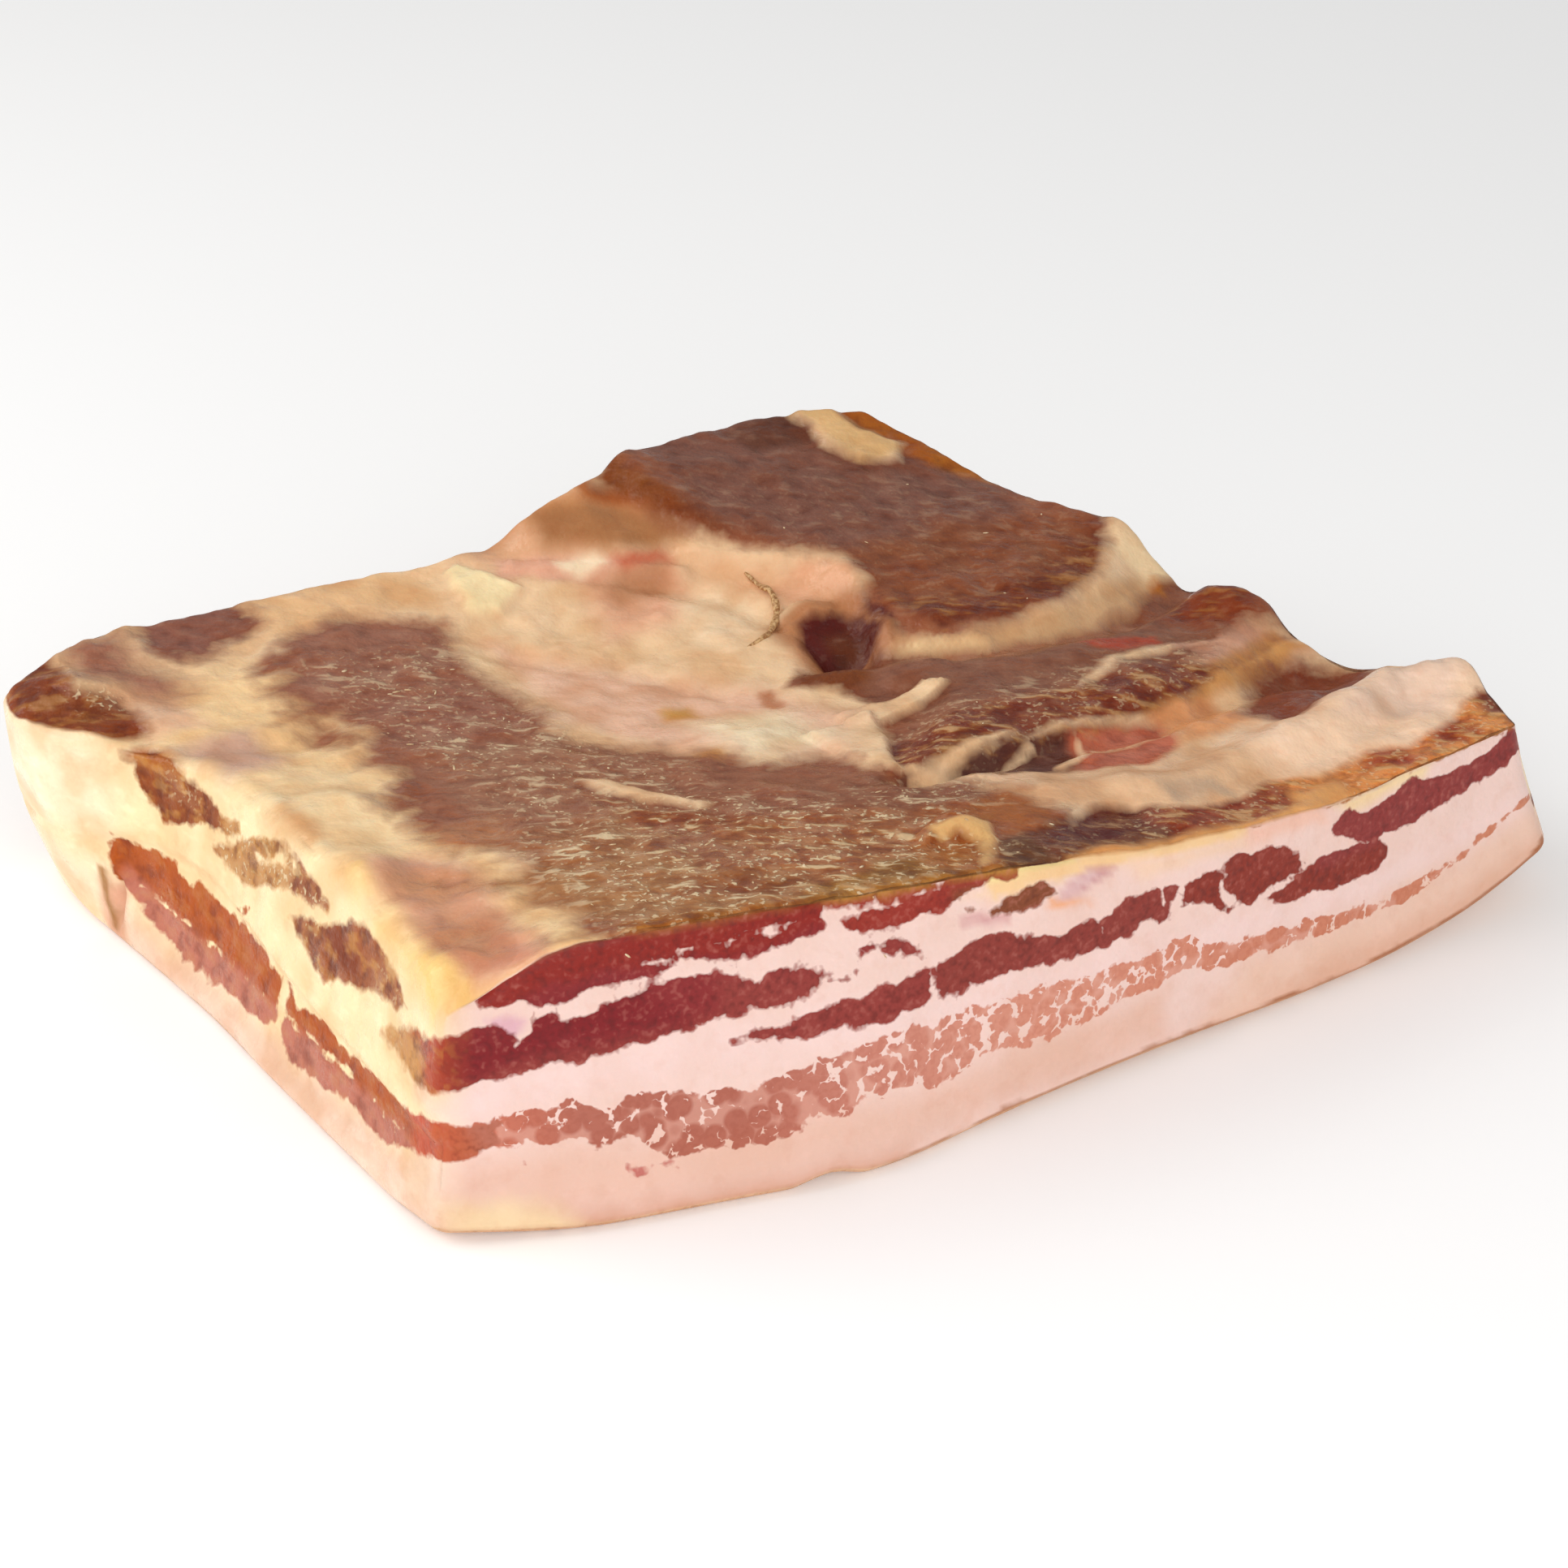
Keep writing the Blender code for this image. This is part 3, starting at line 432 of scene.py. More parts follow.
LEAN_TINTS_ON_FRESH_CUT = (
    (((-40, 1.4), (260, 1.4), (260, -0.2), (-40, -0.2)), 1, (145, 63, 58)),
    (((-14, 0.92), (66, 0.907), (65.5, 0.658), (-14, 0.66)), 2, (139, 52, 53)),
    (((-14, 0.86), (20, 0.813), (30, 0.657), (-14, 0.66)), 3, (130, 41, 46)),
    (((36, 0.777), (82, 0.781), (80, 0.51), (36, 0.509)), 3, (147, 65, 60)),
    (((78, 0.802), (134, 0.827), (134, 0.561), (78, 0.561)), 3, (143, 65, 58)),
    (((134, 0.885), (190, 0.913), (190, 0.512), (134, 0.453)), 3, (141, 60, 50)),
    (((168, 0.962), (228, 0.96), (228, 0.64), (168, 0.664)), 2, (143, 63, 60)),
    (((-14, 1.2), (60, 1.2), (60, 0.9), (40, 0.853), (-14, 0.90)), 1.2, (143, 49, 43)),
    (((56, 1.2), (100, 1.2), (96, 0.903), (80, 0.839), (58, 0.849)), 1.5, (153, 59, 50)),
    (((18, 1.2), (58, 1.2), (56, 0.972), (30, 0.978), (17.5, 0.99)), 1.2, (162, 99, 53)),
    (((56, 1.2), (100, 1.2), (98, 0.958), (74, 0.967), (56, 0.97)), 1.0, (186, 130, 66)),
    (((82, 0.925), (106, 0.923), (106, 0.795), (82, 0.8)), 1.5, (134, 76, 53)),
    (((106, 1.3), (150, 1.3), (150, 0.943), (106, 0.923)), 0.8, (168, 108, 56)),
    (((150, 1.3), (226, 1.3), (226, 0.97), (150, 0.943)), 0.8, (181, 121, 69)),
    (((15.5, 0.239), (27.5, 0.239), (27.5, 0.164), (15.5, 0.166)), 0.5, (196, 117, 107)),
    (((-3.5, 0.318), (2.5, 0.311), (2.5, 0.258), (-3.5, 0.263)), 0.5, (181, 76, 72)),
    (((-20, 0.53), (2, 0.50), (2, 0.325), (-20, 0.30)), 1.0, (180, 108, 88)),
    (((-20, 0.53), (-9, 0.50), (-7, 0.325), (-20, 0.30)), 2.0, (184, 98, 70)),
)
FAT_TINTS_ON_FRESH_CUT = (
    (((-40, 1.4), (260, 1.4), (260, -0.2), (-40, -0.2)), 1, (236, 204, 193)),
    (((-14, 0.66), (240, 0.5), (240, 0.34), (-14, 0.5)), 4, (238, 207, 199)),
    (((-14, 0.33), (29.5, 0.297), (69.5, 0.252), (130.5, 0.293), (130.5, 0.076), (-14, 0.081)), 4,
     (229, 188, 170)),
    (((-14, 0.102), (-14, -0.2), (70, -0.2), (69, 0.075), (29.5, 0.081)), 3, (216, 167, 145)),
    (((150, 0.317), (240, 0.4), (240, -0.2), (130, -0.2)), 6, (234, 196, 176)),
    (((170, 0.158), (240, 0.16), (240, -0.2), (100, -0.2)), 4, (226, 180, 156)),
    (((85, 1.2), (110, 1.2), (109, 0.933), (104, 0.903), (90, 0.904)), 1.0, (238, 214, 150)),
    (((84, 0.828), (94, 0.825), (94, 0.791), (84, 0.794)), 1.0, (212, 160, 158)),
    (((104, 0.815), (108, 0.894), (113, 0.944), (118.5, 0.958), (117, 0.906), (112, 0.841)), 0.8,
     (208, 158, 158)),
    (((106, 0.844), (109, 0.894), (113, 0.924), (115, 0.915), (112, 0.865)), 0.7, (222, 186, 184)),
    (((102, 0.819), (113, 0.801), (113, 0.782), (102, 0.795)), 0.7, (236, 170, 128)),
    (((84, 0.896), (100, 0.932), (107.5, 0.951), (106, 0.903), (88, 0.875)), 1.0, (240, 206, 180)),
    (((118, 0.954), (140, 0.937), (150, 0.979), (150, 0.895), (124, 0.86)), 2, (238, 202, 176)),
    (((150, 0.986), (170, 0.998), (170, 0.907), (150, 0.895)), 2, (236, 190, 170)),
    (((172, 0.983), (198, 0.977), (196, 0.914), (176, 0.91)), 2, (238, 208, 160)),
    (((-4, 0.89), (0, 0.846), (2, 0.782), (-1, 0.757), (-3, 0.825)), 0.8, (222, 176, 186)),
    (((89, 0.93), (99, 0.956), (109, 0.98), (121.5, 1.2), (152, 1.2), (150, 0.955), (136, 0.94), (125, 0.95),
      (117.5, 0.945), (107.5, 0.922), (100.5, 0.9), (90.5, 0.87)), 0.8, (240, 200, 150)),
    # the rind's own edge
    (((60, 0.02), (100, 0.036), (150, 0.046), (200, 0.052), (222, 0.058), (240, 0.2), (240, -0.2),
      (60, -0.2)), 0.45, (172, 108, 70)),
    (((-14, 0.14), (1, 0.13), (8, 0.04), (20, -0.2), (-14, -0.2)), 3, (237, 208, 168)),
)

# The pale granular streak of the fresh cut: its upper and lower edge by x, and how much of it is lean.
GRAINS_TOP = ((-14, 0.49), (-6.5, 0.457), (-0.5, 0.468), (5.5, 0.445), (9.5, 0.462), (12.5, 0.429),
              (22.5, 0.441), (29.5, 0.424), (33.5, 0.402), (47.5, 0.422), (54.5, 0.426), (61.5, 0.467),
              (82, 0.478), (100.5, 0.48), (112.5, 0.477), (128, 0.489), (137, 0.51), (139, 0.468),
              (145, 0.436), (155, 0.421), (165, 0.407), (178, 0.386), (188, 0.369), (200, 0.37),
              (210, 0.401), (222, 0.448), (236, 0.42))
GRAINS_FOOT = ((-14, 0.34), (-5.5, 0.359), (7.5, 0.324), (14.5, 0.307), (18.5, 0.313), (21.5, 0.258),
               (32.5, 0.217), (37.5, 0.204), (51.5, 0.23), (57, 0.223), (61, 0.273), (78, 0.256),
               (90.5, 0.29), (97.5, 0.267), (112.5, 0.294), (130.5, 0.342), (136.5, 0.356), (144.5, 0.332),
               (155, 0.325), (168, 0.312), (180, 0.313), (190, 0.292), (205, 0.345), (222, 0.412),
               (236, 0.39))
GRAINS_SHARE = ((-14, 1), (10, 1), (40, 0.92), (60, 0.8), (80, 0.64), (100, 0.58), (120, 0.62), (136, 0.74),
                (150, 0.86), (180, 0.95), (236, 1))
GRAIN_TINTS = ((-14, (200, 92, 62)), (-4, (196, 108, 84)), (10, (174, 98, 80)), (40, (174, 98, 80)),
               (60, (196, 124, 106)), (90, (210, 140, 118)), (130, (208, 134, 108)), (160, (202, 124, 96)),
               (236, (204, 130, 98)))

# The old cut, as (y in mm, share of the thickness) outlines.
LEAN_ON_OLD_CUT = (
    (((132.5, 0.497), (130.5, 0.557), (128, 0.525), (115.5, 0.507), (110, 0.439), (106, 0.493), (99, 0.5),
      (88, 0.463), (77, 0.456), (74.5, 0.42), (68, 0.406), (62, 0.364), (55.5, 0.385), (50.5, 0.399),
      (45.5, 0.374), (41, 0.348), (37.5, 0.386), (31.5, 0.406), (20.5, 0.406), (16, 0.42), (10.5, 0.466),
      (5.5, 0.51), (-4, 0.50), (-4, 0.30), (3, 0.329), (4.5, 0.325), (10, 0.29), (15, 0.258), (20.5, 0.22),
      (28, 0.186), (42, 0.193), (49, 0.163), (62.5, 0.172), (69.5, 0.231), (71, 0.192), (82, 0.159),
      (103.5, 0.152), (111, 0.172), (117.5, 0.185), (122, 0.249), (126.5, 0.297), (130.5, 0.348)), 0.4),
    (((129, 0.988), (126.5, 0.852), (122.5, 0.747), (118, 0.682), (112.5, 0.714), (106, 0.779),
      (97.5, 0.794), (91.5, 0.825), (98, 0.862), (104, 0.87), (108, 0.909), (113, 0.898), (118, 0.982),
      (124, 1.2), (129, 1.2)), 0.5),
    (((102, 0.702), (94, 0.668), (88.5, 0.635), (82.5, 0.677), (76.5, 0.736), (70.5, 0.784), (60.5, 0.813),
      (55.5, 0.823), (61, 0.887), (67.5, 0.933), (74, 0.98), (79.5, 0.932), (87.5, 0.846), (94.5, 0.785)),
     0.6),
    (((68, 0.684), (59.5, 0.621), (53, 0.578), (47.5, 0.613), (41.5, 0.658), (35.5, 0.697), (28, 0.736),
      (20, 0.792), (27, 0.873), (35, 0.888), (40.5, 0.913), (45, 0.878), (50.5, 0.802), (56.5, 0.759),
      (64.5, 0.74)), 0.6),
    (((29, 0.599), (21, 0.582), (11.5, 0.581), (4.5, 0.642), (-4, 0.64), (-4, 0.86), (6, 0.863),
      (14.5, 0.766), (21.5, 0.701), (27, 0.654)), 0.8),
    (((35.5, 0.524), (34, 0.524), (33.5, 0.506), (35, 0.505)), 0.3),
    (((93.5, 0.492), (92.5, 0.506), (84, 0.572), (84, 0.558)), 0.3),
)
FAT_ON_OLD_CUT = (
    (((69.5, 0.461), (67.5, 0.462), (65, 0.14), (68.5, 0.138)), 0.4),
    (((125.5, 0.33), (115, 0.304), (98.5, 0.294), (81.5, 0.286), (65.5, 0.294), (50, 0.302), (34.5, 0.3),
      (17.5, 0.295), (17, 0.288), (34.5, 0.291), (50, 0.29), (65.5, 0.282), (81.5, 0.275), (98.5, 0.282),
      (115, 0.29), (125.5, 0.316)), 0.3),
    (((83, 0.772), (75, 0.83), (69, 0.868), (69.5, 0.886), (77, 0.857), (85, 0.79)), 0.5),
)
LEAN_TINTS_ON_OLD_CUT = (
    (((-40, 1.4), (260, 1.4), (260, -0.2), (-40, -0.2)), 1, (180, 90, 42)),
    (((128.5, 0.396), (118.5, 0.297), (98.5, 0.28), (65.5, 0.289), (34.5, 0.296), (11.5, 0.301), (9, 0.125),
      (127.5, 0.079)), 1.5, (194, 120, 100)),
    (((15, 0.597), (13, 0.217), (-6, 0.15), (-6, 0.55)), 4, (200, 92, 64)),
    (((132, 1.3), (90, 1.3), (89, 0.673), (132.5, 0.658)), 2, (150, 80, 44)),
    (((128, 1.3), (112, 1.3), (112, 0.898), (128, 0.904)), 1.5, (176, 112, 60)),
    (((100, 1.02), (56, 1.02), (53.5, 0.633), (99.5, 0.606)), 2, (196, 138, 80)),
    (((71.5, 0.923), (20, 0.938), (17, 0.569), (69, 0.554)), 2, (166, 98, 62)),
    (((54.5, 0.778), (42.5, 0.788), (41.5, 0.677), (53.5, 0.669)), 1.5, (136, 68, 42)),
    (((31.5, 0.716), (10, 0.725), (9.5, 0.552), (30.5, 0.553)), 2, (202, 146, 94)),
    (((13, 0.926), (-6, 0.90), (-6, 0.58), (10.5, 0.63)), 3, (186, 84, 56)),
)
FAT_TINTS_ON_OLD_CUT = (
    (((-40, 1.4), (260, 1.4), (260, -0.2), (-40, -0.2)), 1, (250, 224, 176)),
    (((180, 1.2), (130, 1.2), (130.5, 0.496), (180, 0.5)), 6, (252, 232, 196)),
    (((180, 0.4), (120.5, 0.392), (118, 0.079), (180, 0.05)), 6, (248, 222, 186)),
    (((127.5, 0.166), (54.5, 0.177), (15, 0.229), (-6, 0.30), (-6, -0.2), (128, -0.2)), 4, (238, 202, 176)),
    (((134, 0.301), (126.5, 0.297), (126, -0.2), (134, -0.2)), 2, (226, 176, 146)),
    (((13.5, 0.646), (-6, 0.6), (-6, 0.5), (13, 0.513)), 3, (246, 214, 184)),
    (((16, 0.401), (-6, 0.34), (-6, 0.0), (12, 0.132)), 4, (244, 216, 190)),
    (((40, 1.2), (6, 1.2), (6, 0.892), (39.5, 0.913)), 4, (246, 208, 140)),
    # painted shade: a dark line in the slit at the back of the old cut
    (((134, 0.36), (132.6, 0.18), (130.4, 0.06), (129.2, 0.08), (130.8, 0.2), (132, 0.36)), 0.8,
     (168, 122, 76)),
)

# The two sides that the photo doesn't show carry on the same layers: lean bands as (share of the way
# along the side, middle and half width in shares of the thickness).
BACK_BANDS = (
    (((0, 0.36), (0.3, 0.30), (0.6, 0.34), (1, 0.32)), ((0, 0.12), (0.3, 0.15), (0.6, 0.10), (1, 0.05))),
    (((0, 0.70), (0.25, 0.66), (0.6, 0.62), (1, 0.60)),
     ((0, 0.02), (0.15, 0.07), (0.5, 0.10), (0.8, 0.04), (1, 0.08))),
    (((0, 0.98), (0.2, 0.95), (0.5, 0.90), (0.7, 0.93), (1, 0.92)),
     ((0, 0.07), (0.2, 0.03), (0.45, 0.02), (0.7, 0.10), (1, 0.12))),
)
RIGHT_BANDS = (
    (((0, 0.36), (0.3, 0.32), (0.7, 0.30), (1, 0.32)), ((0, 0.03), (0.3, 0.08), (0.7, 0.10), (1, 0.05))),
    (((0, 0.80), (0.3, 0.66), (0.6, 0.60), (1, 0.60)), ((0, 0.10), (0.3, 0.05), (0.6, 0.10), (1, 0.08))),
    (((0, 1.0), (0.35, 0.95), (0.7, 0.93), (1, 0.92)), ((0, 0.03), (0.35, 0.06), (0.7, 0.10), (1, 0.12))),
)
HIDDEN_LEAN = (150, 82, 56)
HIDDEN_LEAN_DARK = (132, 66, 46)
HIDDEN_LEAN_LIGHT = (176, 98, 68)
HIDDEN_FAT = (244, 216, 176)
HIDDEN_FAT_BY_RIND = (236, 196, 170)
RIND_TINT = (206, 156, 118)
RIND_REACH = 0.05

# Where salt and dried protein whiten the lean of the flesh side: outline, softness, amount.
FROSTED = (
    (((21.5, 45.5), (70, 45.5), (95.5, 27), (98.5, -0.5), (60, -12), (19.5, -1.5)), 8, 1.0),
    (((28, 100), (54, 90), (70, 66.5), (60, 45.5), (26, 47.5)), 8, 0.6),
    (((19, 144), (50, 142), (54, 92), (24, 92)), 5, 0.5),
    (((108.5, 167), (190, 140), (189, 98.5), (140, 96), (112, 150)), 10, 0.08),
    (((104, 66), (190, 72), (186, 56), (120, 46), (102, 46)), 5, 0.45),
    (((-26.5, 150.5), (-18.5, 151), (-18, 142), (-26, 142)), 3, 0.9),
    (((88, 45.5), (112, 39.5), (111.5, 23.5), (91, 22.5)), 5, 0.7),
    (((128, 12), (166, 16), (222, 32), (238, 22), (228, -16), (128, -14)), 2, 0.5),
    (((104, 8), (128, 12), (128, -14), (104, -14)), 2, 0.25),
)

# Where the dried lean glints golden between dark spots.
GILDED = (
    (((165, 14), (186, 20), (224, 33), (240, 24), (230, -20), (160, -20)), 2, 0.75),
    (((134, 11.5), (166, 15), (166, -20), (134, -20)), 2, 0.6),
    (((105, 7), (134, 16), (134, -20), (108, -20)), 2, 0.35),
    (((103, 57), (128, 62), (150, 62), (180, 66), (186, 58), (160, 48), (126, 45), (100, 44)), 2.5, 0.6),
    (((182, 104), (192, 112), (194, 122), (200, 118), (196, 100)), 2, 0.8),
    (((134, 110), (140, 92), (158, 91), (176, 97), (192, 110), (184, 114), (168, 104), (150, 101)), 3, 0.55),
    (((44, 62.5), (50, 50), (59.5, 40.5), (71.5, 32), (85, 20), (95.5, 9), (59.5, -5), (38.5, 17.5)), 5, 0.4),
    (((21.5, 1), (59, -1.5), (94.5, 1.5), (104, -20), (16, -20)), 3, 0.5),
    (((-45, 175), (-26, 170), (-20, 150), (-15, 128), (-45, 128)), 3, 0.45),
    (((-32, 128.5), (-15, 128), (-15, 84), (-32, 84)), 2, 0.8),
    (((186, 87), (190, 78), (204.5, 79), (212, 90), (200, 96)), 3, 0.5),
)

# The same whitening on the old cut, as (y in mm, share of the thickness) outlines.
FROSTED_OLD_CUT = (
    (((100, 1.05), (56, 1.05), (56, 0.6), (100, 0.6)), 2, 0.9),
    (((120, 1.05), (104, 1.05), (104, 0.8), (120, 0.8)), 2, 0.5),
    (((36, 0.905), (20.5, 0.911), (20, 0.607), (36, 0.603)), 2, 0.4),
)

# Unevenness of the flesh side: height and size of the swells in millimetres, and their seed.
FLESH_UNEVENNESS = ((0.7, 9.0, 25), (0.4, 4.5, 21), (0.2, 2.2, 23))
# How far the cuts swell in and out, and how far lean has sunk below fat on the flesh side.
CUT_RIPPLE = 0.25
LEAN_SUNK = 0.4

# The light that the greasy surface sends back whatever its colour.
SHEEN = 0.02

# The run of the muscle fibres on the flesh side, and how many times longer than wide their streaks are.
FIBRE_ANGLE = math.radians(-30)
FIBRE_LENGTH = 2.2


def spline(keys, place):
    """A smooth curve through (place, value) keys, read at each place."""
    places, values = (np.array(column, float) for column in zip(*keys))
    slopes = np.gradient(values, places)
    return hermite(places, values, slopes, place)


def hermite(places, values, slopes, place):
    """The cubic between the two keys that each place lies between."""
    place = np.clip(place, places[0], places[-1])
    i = np.clip(np.searchsorted(places, place, side="right") - 1, 0, len(places) - 2)
    gap = places[i + 1] - places[i]
    s = (place - places[i]) / gap

    def pick(table, k):
        return table[k] if table.ndim == 1 else np.take_along_axis(table, k[None], 0)[0]

    return ((1 + 2 * s) * (1 - s) ** 2 * pick(values, i) + s * (1 - s) ** 2 * gap * pick(slopes, i)
            + s * s * (3 - 2 * s) * pick(values, i + 1) + s * s * (s - 1) * gap * pick(slopes, i + 1))


def height_net(rows, u, v):
    """A smooth surface through rows of (share of the depth, width keys)."""
    places = np.array([place for place, _ in rows])
    values = np.array([spline(keys, u) for _, keys in rows])
    return hermite(places, values, np.gradient(values, places, axis=0), v)


def mix(a, b, share):
    """a at share 0, b at share 1, and a straight blend between them."""
    return a + (b - a) * share


def smooth(low, high, value):
    """0 at low, 1 at high, and a smooth step between them."""
    share = np.clip((value - low) / (high - low), 0, 1)
    return share * share * (3 - 2 * share)


def bump(distance):
    """1 at distance 0, falling smoothly to 0 at distance 1."""
    return 1 - smooth(0, 1, distance)


def from_line(line, x, y):
    """Distance from each point to a line of straight runs, and how far along it the nearest place is."""
    ends = [np.array(point, float) for point in line]
    lengths = [np.linalg.norm(b - a) for a, b in zip(ends, ends[1:])]
    nearest = np.full(x.shape, np.inf)
    along = np.zeros(x.shape)
    passed = 0.0
    for a, b, length in zip(ends, ends[1:], lengths):
        run = (b - a) / length
        t = np.clip((x - a[0]) * run[0] + (y - a[1]) * run[1], 0, length)
        distance = np.hypot(x - a[0] - t * run[0], y - a[1] - t * run[1])
        closer = distance < nearest
        nearest = np.where(closer, distance, nearest)
        along = np.where(closer, (passed + t) / sum(lengths), along)
        passed += length
    return nearest, along


def inside(outline, x, y):
    """Distance in from a closed outline: above 0 within it and below 0 outside."""
    closed = (*outline, outline[0])
    distance, _ = from_line(closed, x, y)
    within = np.zeros(x.shape, bool)
    for (ax, ay), (bx, by) in zip(closed, closed[1:]):
        crosses = (ay > y) != (by > y)
        reach = ax + (y - ay) * (bx - ax) / (by - ay if by != ay else 1)
        within ^= crosses & (x < reach)
    return np.where(within, distance, -distance)


def swell(x, y, z, size, seed):
    """Smooth uneven swelling from about -1 to 1, with swells of the given size."""
    points = np.stack([x / size + seed, y / size - seed, z / size + 2 * seed], 1)
    return np.array([noise.noise(Vector(point)) for point in points])


def solid_radius(w):
    """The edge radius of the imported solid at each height."""
    return mix(RIND_EDGE_RADIUS, SOLID_UPPER_EDGE_RADIUS, smooth(0, 0.5, w))


def dressed_radius(u, w):
    """The edge radius here: soft up the corners, sharp along the top of the fresh cut."""
    upper = mix(OLD_CUT_UPPER_RADIUS, EDGE_RADIUS[-1][1], smooth(0.02, 0.08, u))
    return np.where(w > 0.9, mix(EDGE_RADIUS[-2][1], upper, smooth(0.9, 1, w)), spline(EDGE_RADIUS, w))


def rounded(u, v, w, radius):
    """Moves block coordinates on the block's surface inwards, where its edges are rounded."""
    size = np.array([WIDTH, DEPTH, THICKNESS])
    place = np.stack([u, v, w], 1) * size
    core = np.clip(place, radius[:, None], size - radius[:, None])
    out = place - core
    reach = np.linalg.norm(out, axis=1, keepdims=True)
    return ((core + out / reach * radius[:, None]) / size).T


def block_point(u, v, w):
    """Where block coordinates lie in the slab, in millimetres."""
    low = 1 - w
    belly = LEFT_BELLY * np.sin(math.pi * w) * smooth(0.7, 0.95, v)
    left = mix(spline(LEFT_TOP, v), spline(LEFT_FOOT, v), low) - belly
    right = mix(spline(RIGHT_TOP, v), spline(RIGHT_FOOT, v), low)
    front = spline(FRONT_TOP, u) + spline(FRONT_FLARE, u) * low
    back = spline(BACK_TOP, u) + BACK_FLARE * low
    curl = np.maximum(spline(RIGHT_CURL, u), 0) * mix(1, CURL_LEFT_AT_BACK, v)
    foot = curl + np.maximum(spline(FRONT_LIFT, u), 0) * smooth(FRONT_LIFT_REACH, 0, v)
    x, y = mix(left, right, u), mix(front, back, v)
    return x, y, mix(foot, height_net(FLESH_HEIGHT, u, v) + flesh_relief(x, y), w)


def flesh_relief(x, y):
    """How far the flesh side stands above its height curves, in millimetres."""
    rise = np.zeros(x.shape)
    for outline, height in ((BACK_MUSCLE, BACK_MUSCLE_HEIGHT), (MIDDLE_MUSCLE, MIDDLE_MUSCLE_HEIGHT),
                            (FRONT_MUSCLE, FRONT_MUSCLE_HEIGHT)):
        rise += height * smooth(-MUSCLE_EDGE, MUSCLE_EDGE, inside(outline, x, y))
    distance, along = from_line(FAT_ROLL, x, y)
    rise += spline(FAT_ROLL_HEIGHT, along) * bump(distance / FAT_ROLL_REACH)
    hollow = np.hypot((x - HOLLOW[0]) / HOLLOW_SIZE[0], (y - HOLLOW[1]) / HOLLOW_SIZE[1])
    rise -= HOLLOW_DEPTH * bump(hollow)
    for line, depth, half_width in FOLDS:
        rise -= depth * bump(from_line(line, x, y)[0] / half_width)
    pocket = np.hypot((x - POCKET[0]) / POCKET_SIZE[0], (y - POCKET[1]) / POCKET_SIZE[1])
    rise -= POCKET_DEPTH * bump(pocket)
    for (mound_x, mound_y), radius, height in MOUNDS:
        rise += height * bump(np.hypot(x - mound_x, y - mound_y) / radius)
    return rise


def old_cut_relief(y, w):
    """How far the old cut's surface stands out, in millimetres: its lean has shrunk below the fat."""
    streak = (spline(OLD_STREAK_HALF, y) - np.abs(w - spline(OLD_STREAK, y))) * THICKNESS
    slit = np.hypot((y - SLIT[0]) / SLIT_SIZE[0], (w - SLIT[1]) / SLIT_SIZE[1])
    return -OLD_STREAK_DEPTH * smooth(-1.5, 1.5, streak) - SLIT_DEPTH * bump(slit)


def crowd(share):
    """Moves evenly spaced shares towards 0 and 1, so that faces are smaller near the block's edges."""
    return share - EDGE_CROWDING * np.sin(2 * math.pi * share) / (2 * math.pi)


def daylight(colour):
    """A colour as it looks, in 0 to 255, as the linear colour of the surface under its sheen."""
    share = np.array(colour, float) / 255
    seen = np.where(share <= 0.04045, share / 12.92, ((share + 0.055) / 1.055) ** 2.4)
    return np.maximum(seen - SHEEN, 0.004)


def on_cut(outline):
    """An outline on a cut, with its heights as shares turned to millimetres."""
    return tuple((along, height * THICKNESS) for along, height in outline)


def wander(x, y, seed):
    """Moves plan places about a little, so that outlines drawn with straight runs come out uneven."""
    zero = np.full(x.shape, 1.7)
    move_x = 1.1 * swell(x, y, zero, 7.0, seed) + 0.6 * swell(x, y, zero, 2.6, seed + 5)
    move_y = 1.1 * swell(x, y, zero, 7.0, seed + 9) + 0.6 * swell(x, y, zero, 2.6, seed + 14)
    return x + move_x, y + move_y


def lean_depth(lean, fat, x, y):
    """How far inside the lean each place lies, in millimetres, and how soft the nearest edge is."""
    depth = np.full(x.shape, -20.0)
    softness = np.full(x.shape, 0.5)
    for outlines, sign in ((lean, 1), (fat, -1)):
        for outline, soft in outlines:
            reach = inside(outline, x, y)
            nearer = reach > depth if sign > 0 else -reach < depth
            depth = np.where(nearer, sign * reach, depth)
            softness = np.where(nearer, soft, softness)
    return np.clip(depth, -8, 8), softness


def tinted(tints, x, y):
    """Each place's colour, laid on tint by tint."""
    colour = np.zeros((len(x), 3))
    for outline, soft, tint in tints:
        share = smooth(-soft, soft, inside(outline, x, y))
        colour = mix(colour, daylight(tint), share[:, None])
    return colour


def laid(patches, x, y):
    """The sum of patches, each with a soft edge and an amount."""
    total = np.zeros(x.shape)
    for outline, soft, amount in patches:
        total += amount * smooth(-soft, soft, inside(outline, x, y))
    return total


def along_fibres(x, y, z, on_top, on_left):
    """Places for the grain of the meat, drawn out along its fibres."""
    along = x * math.cos(FIBRE_ANGLE) + y * math.sin(FIBRE_ANGLE)
    across = y * math.cos(FIBRE_ANGLE) - x * math.sin(FIBRE_ANGLE)
    places = np.stack([x, y, z], 1)
    places[on_top] = np.stack([along / FIBRE_LENGTH, across, z], 1)[on_top]
    places[on_left, 1] /= FIBRE_LENGTH
    return places * MM


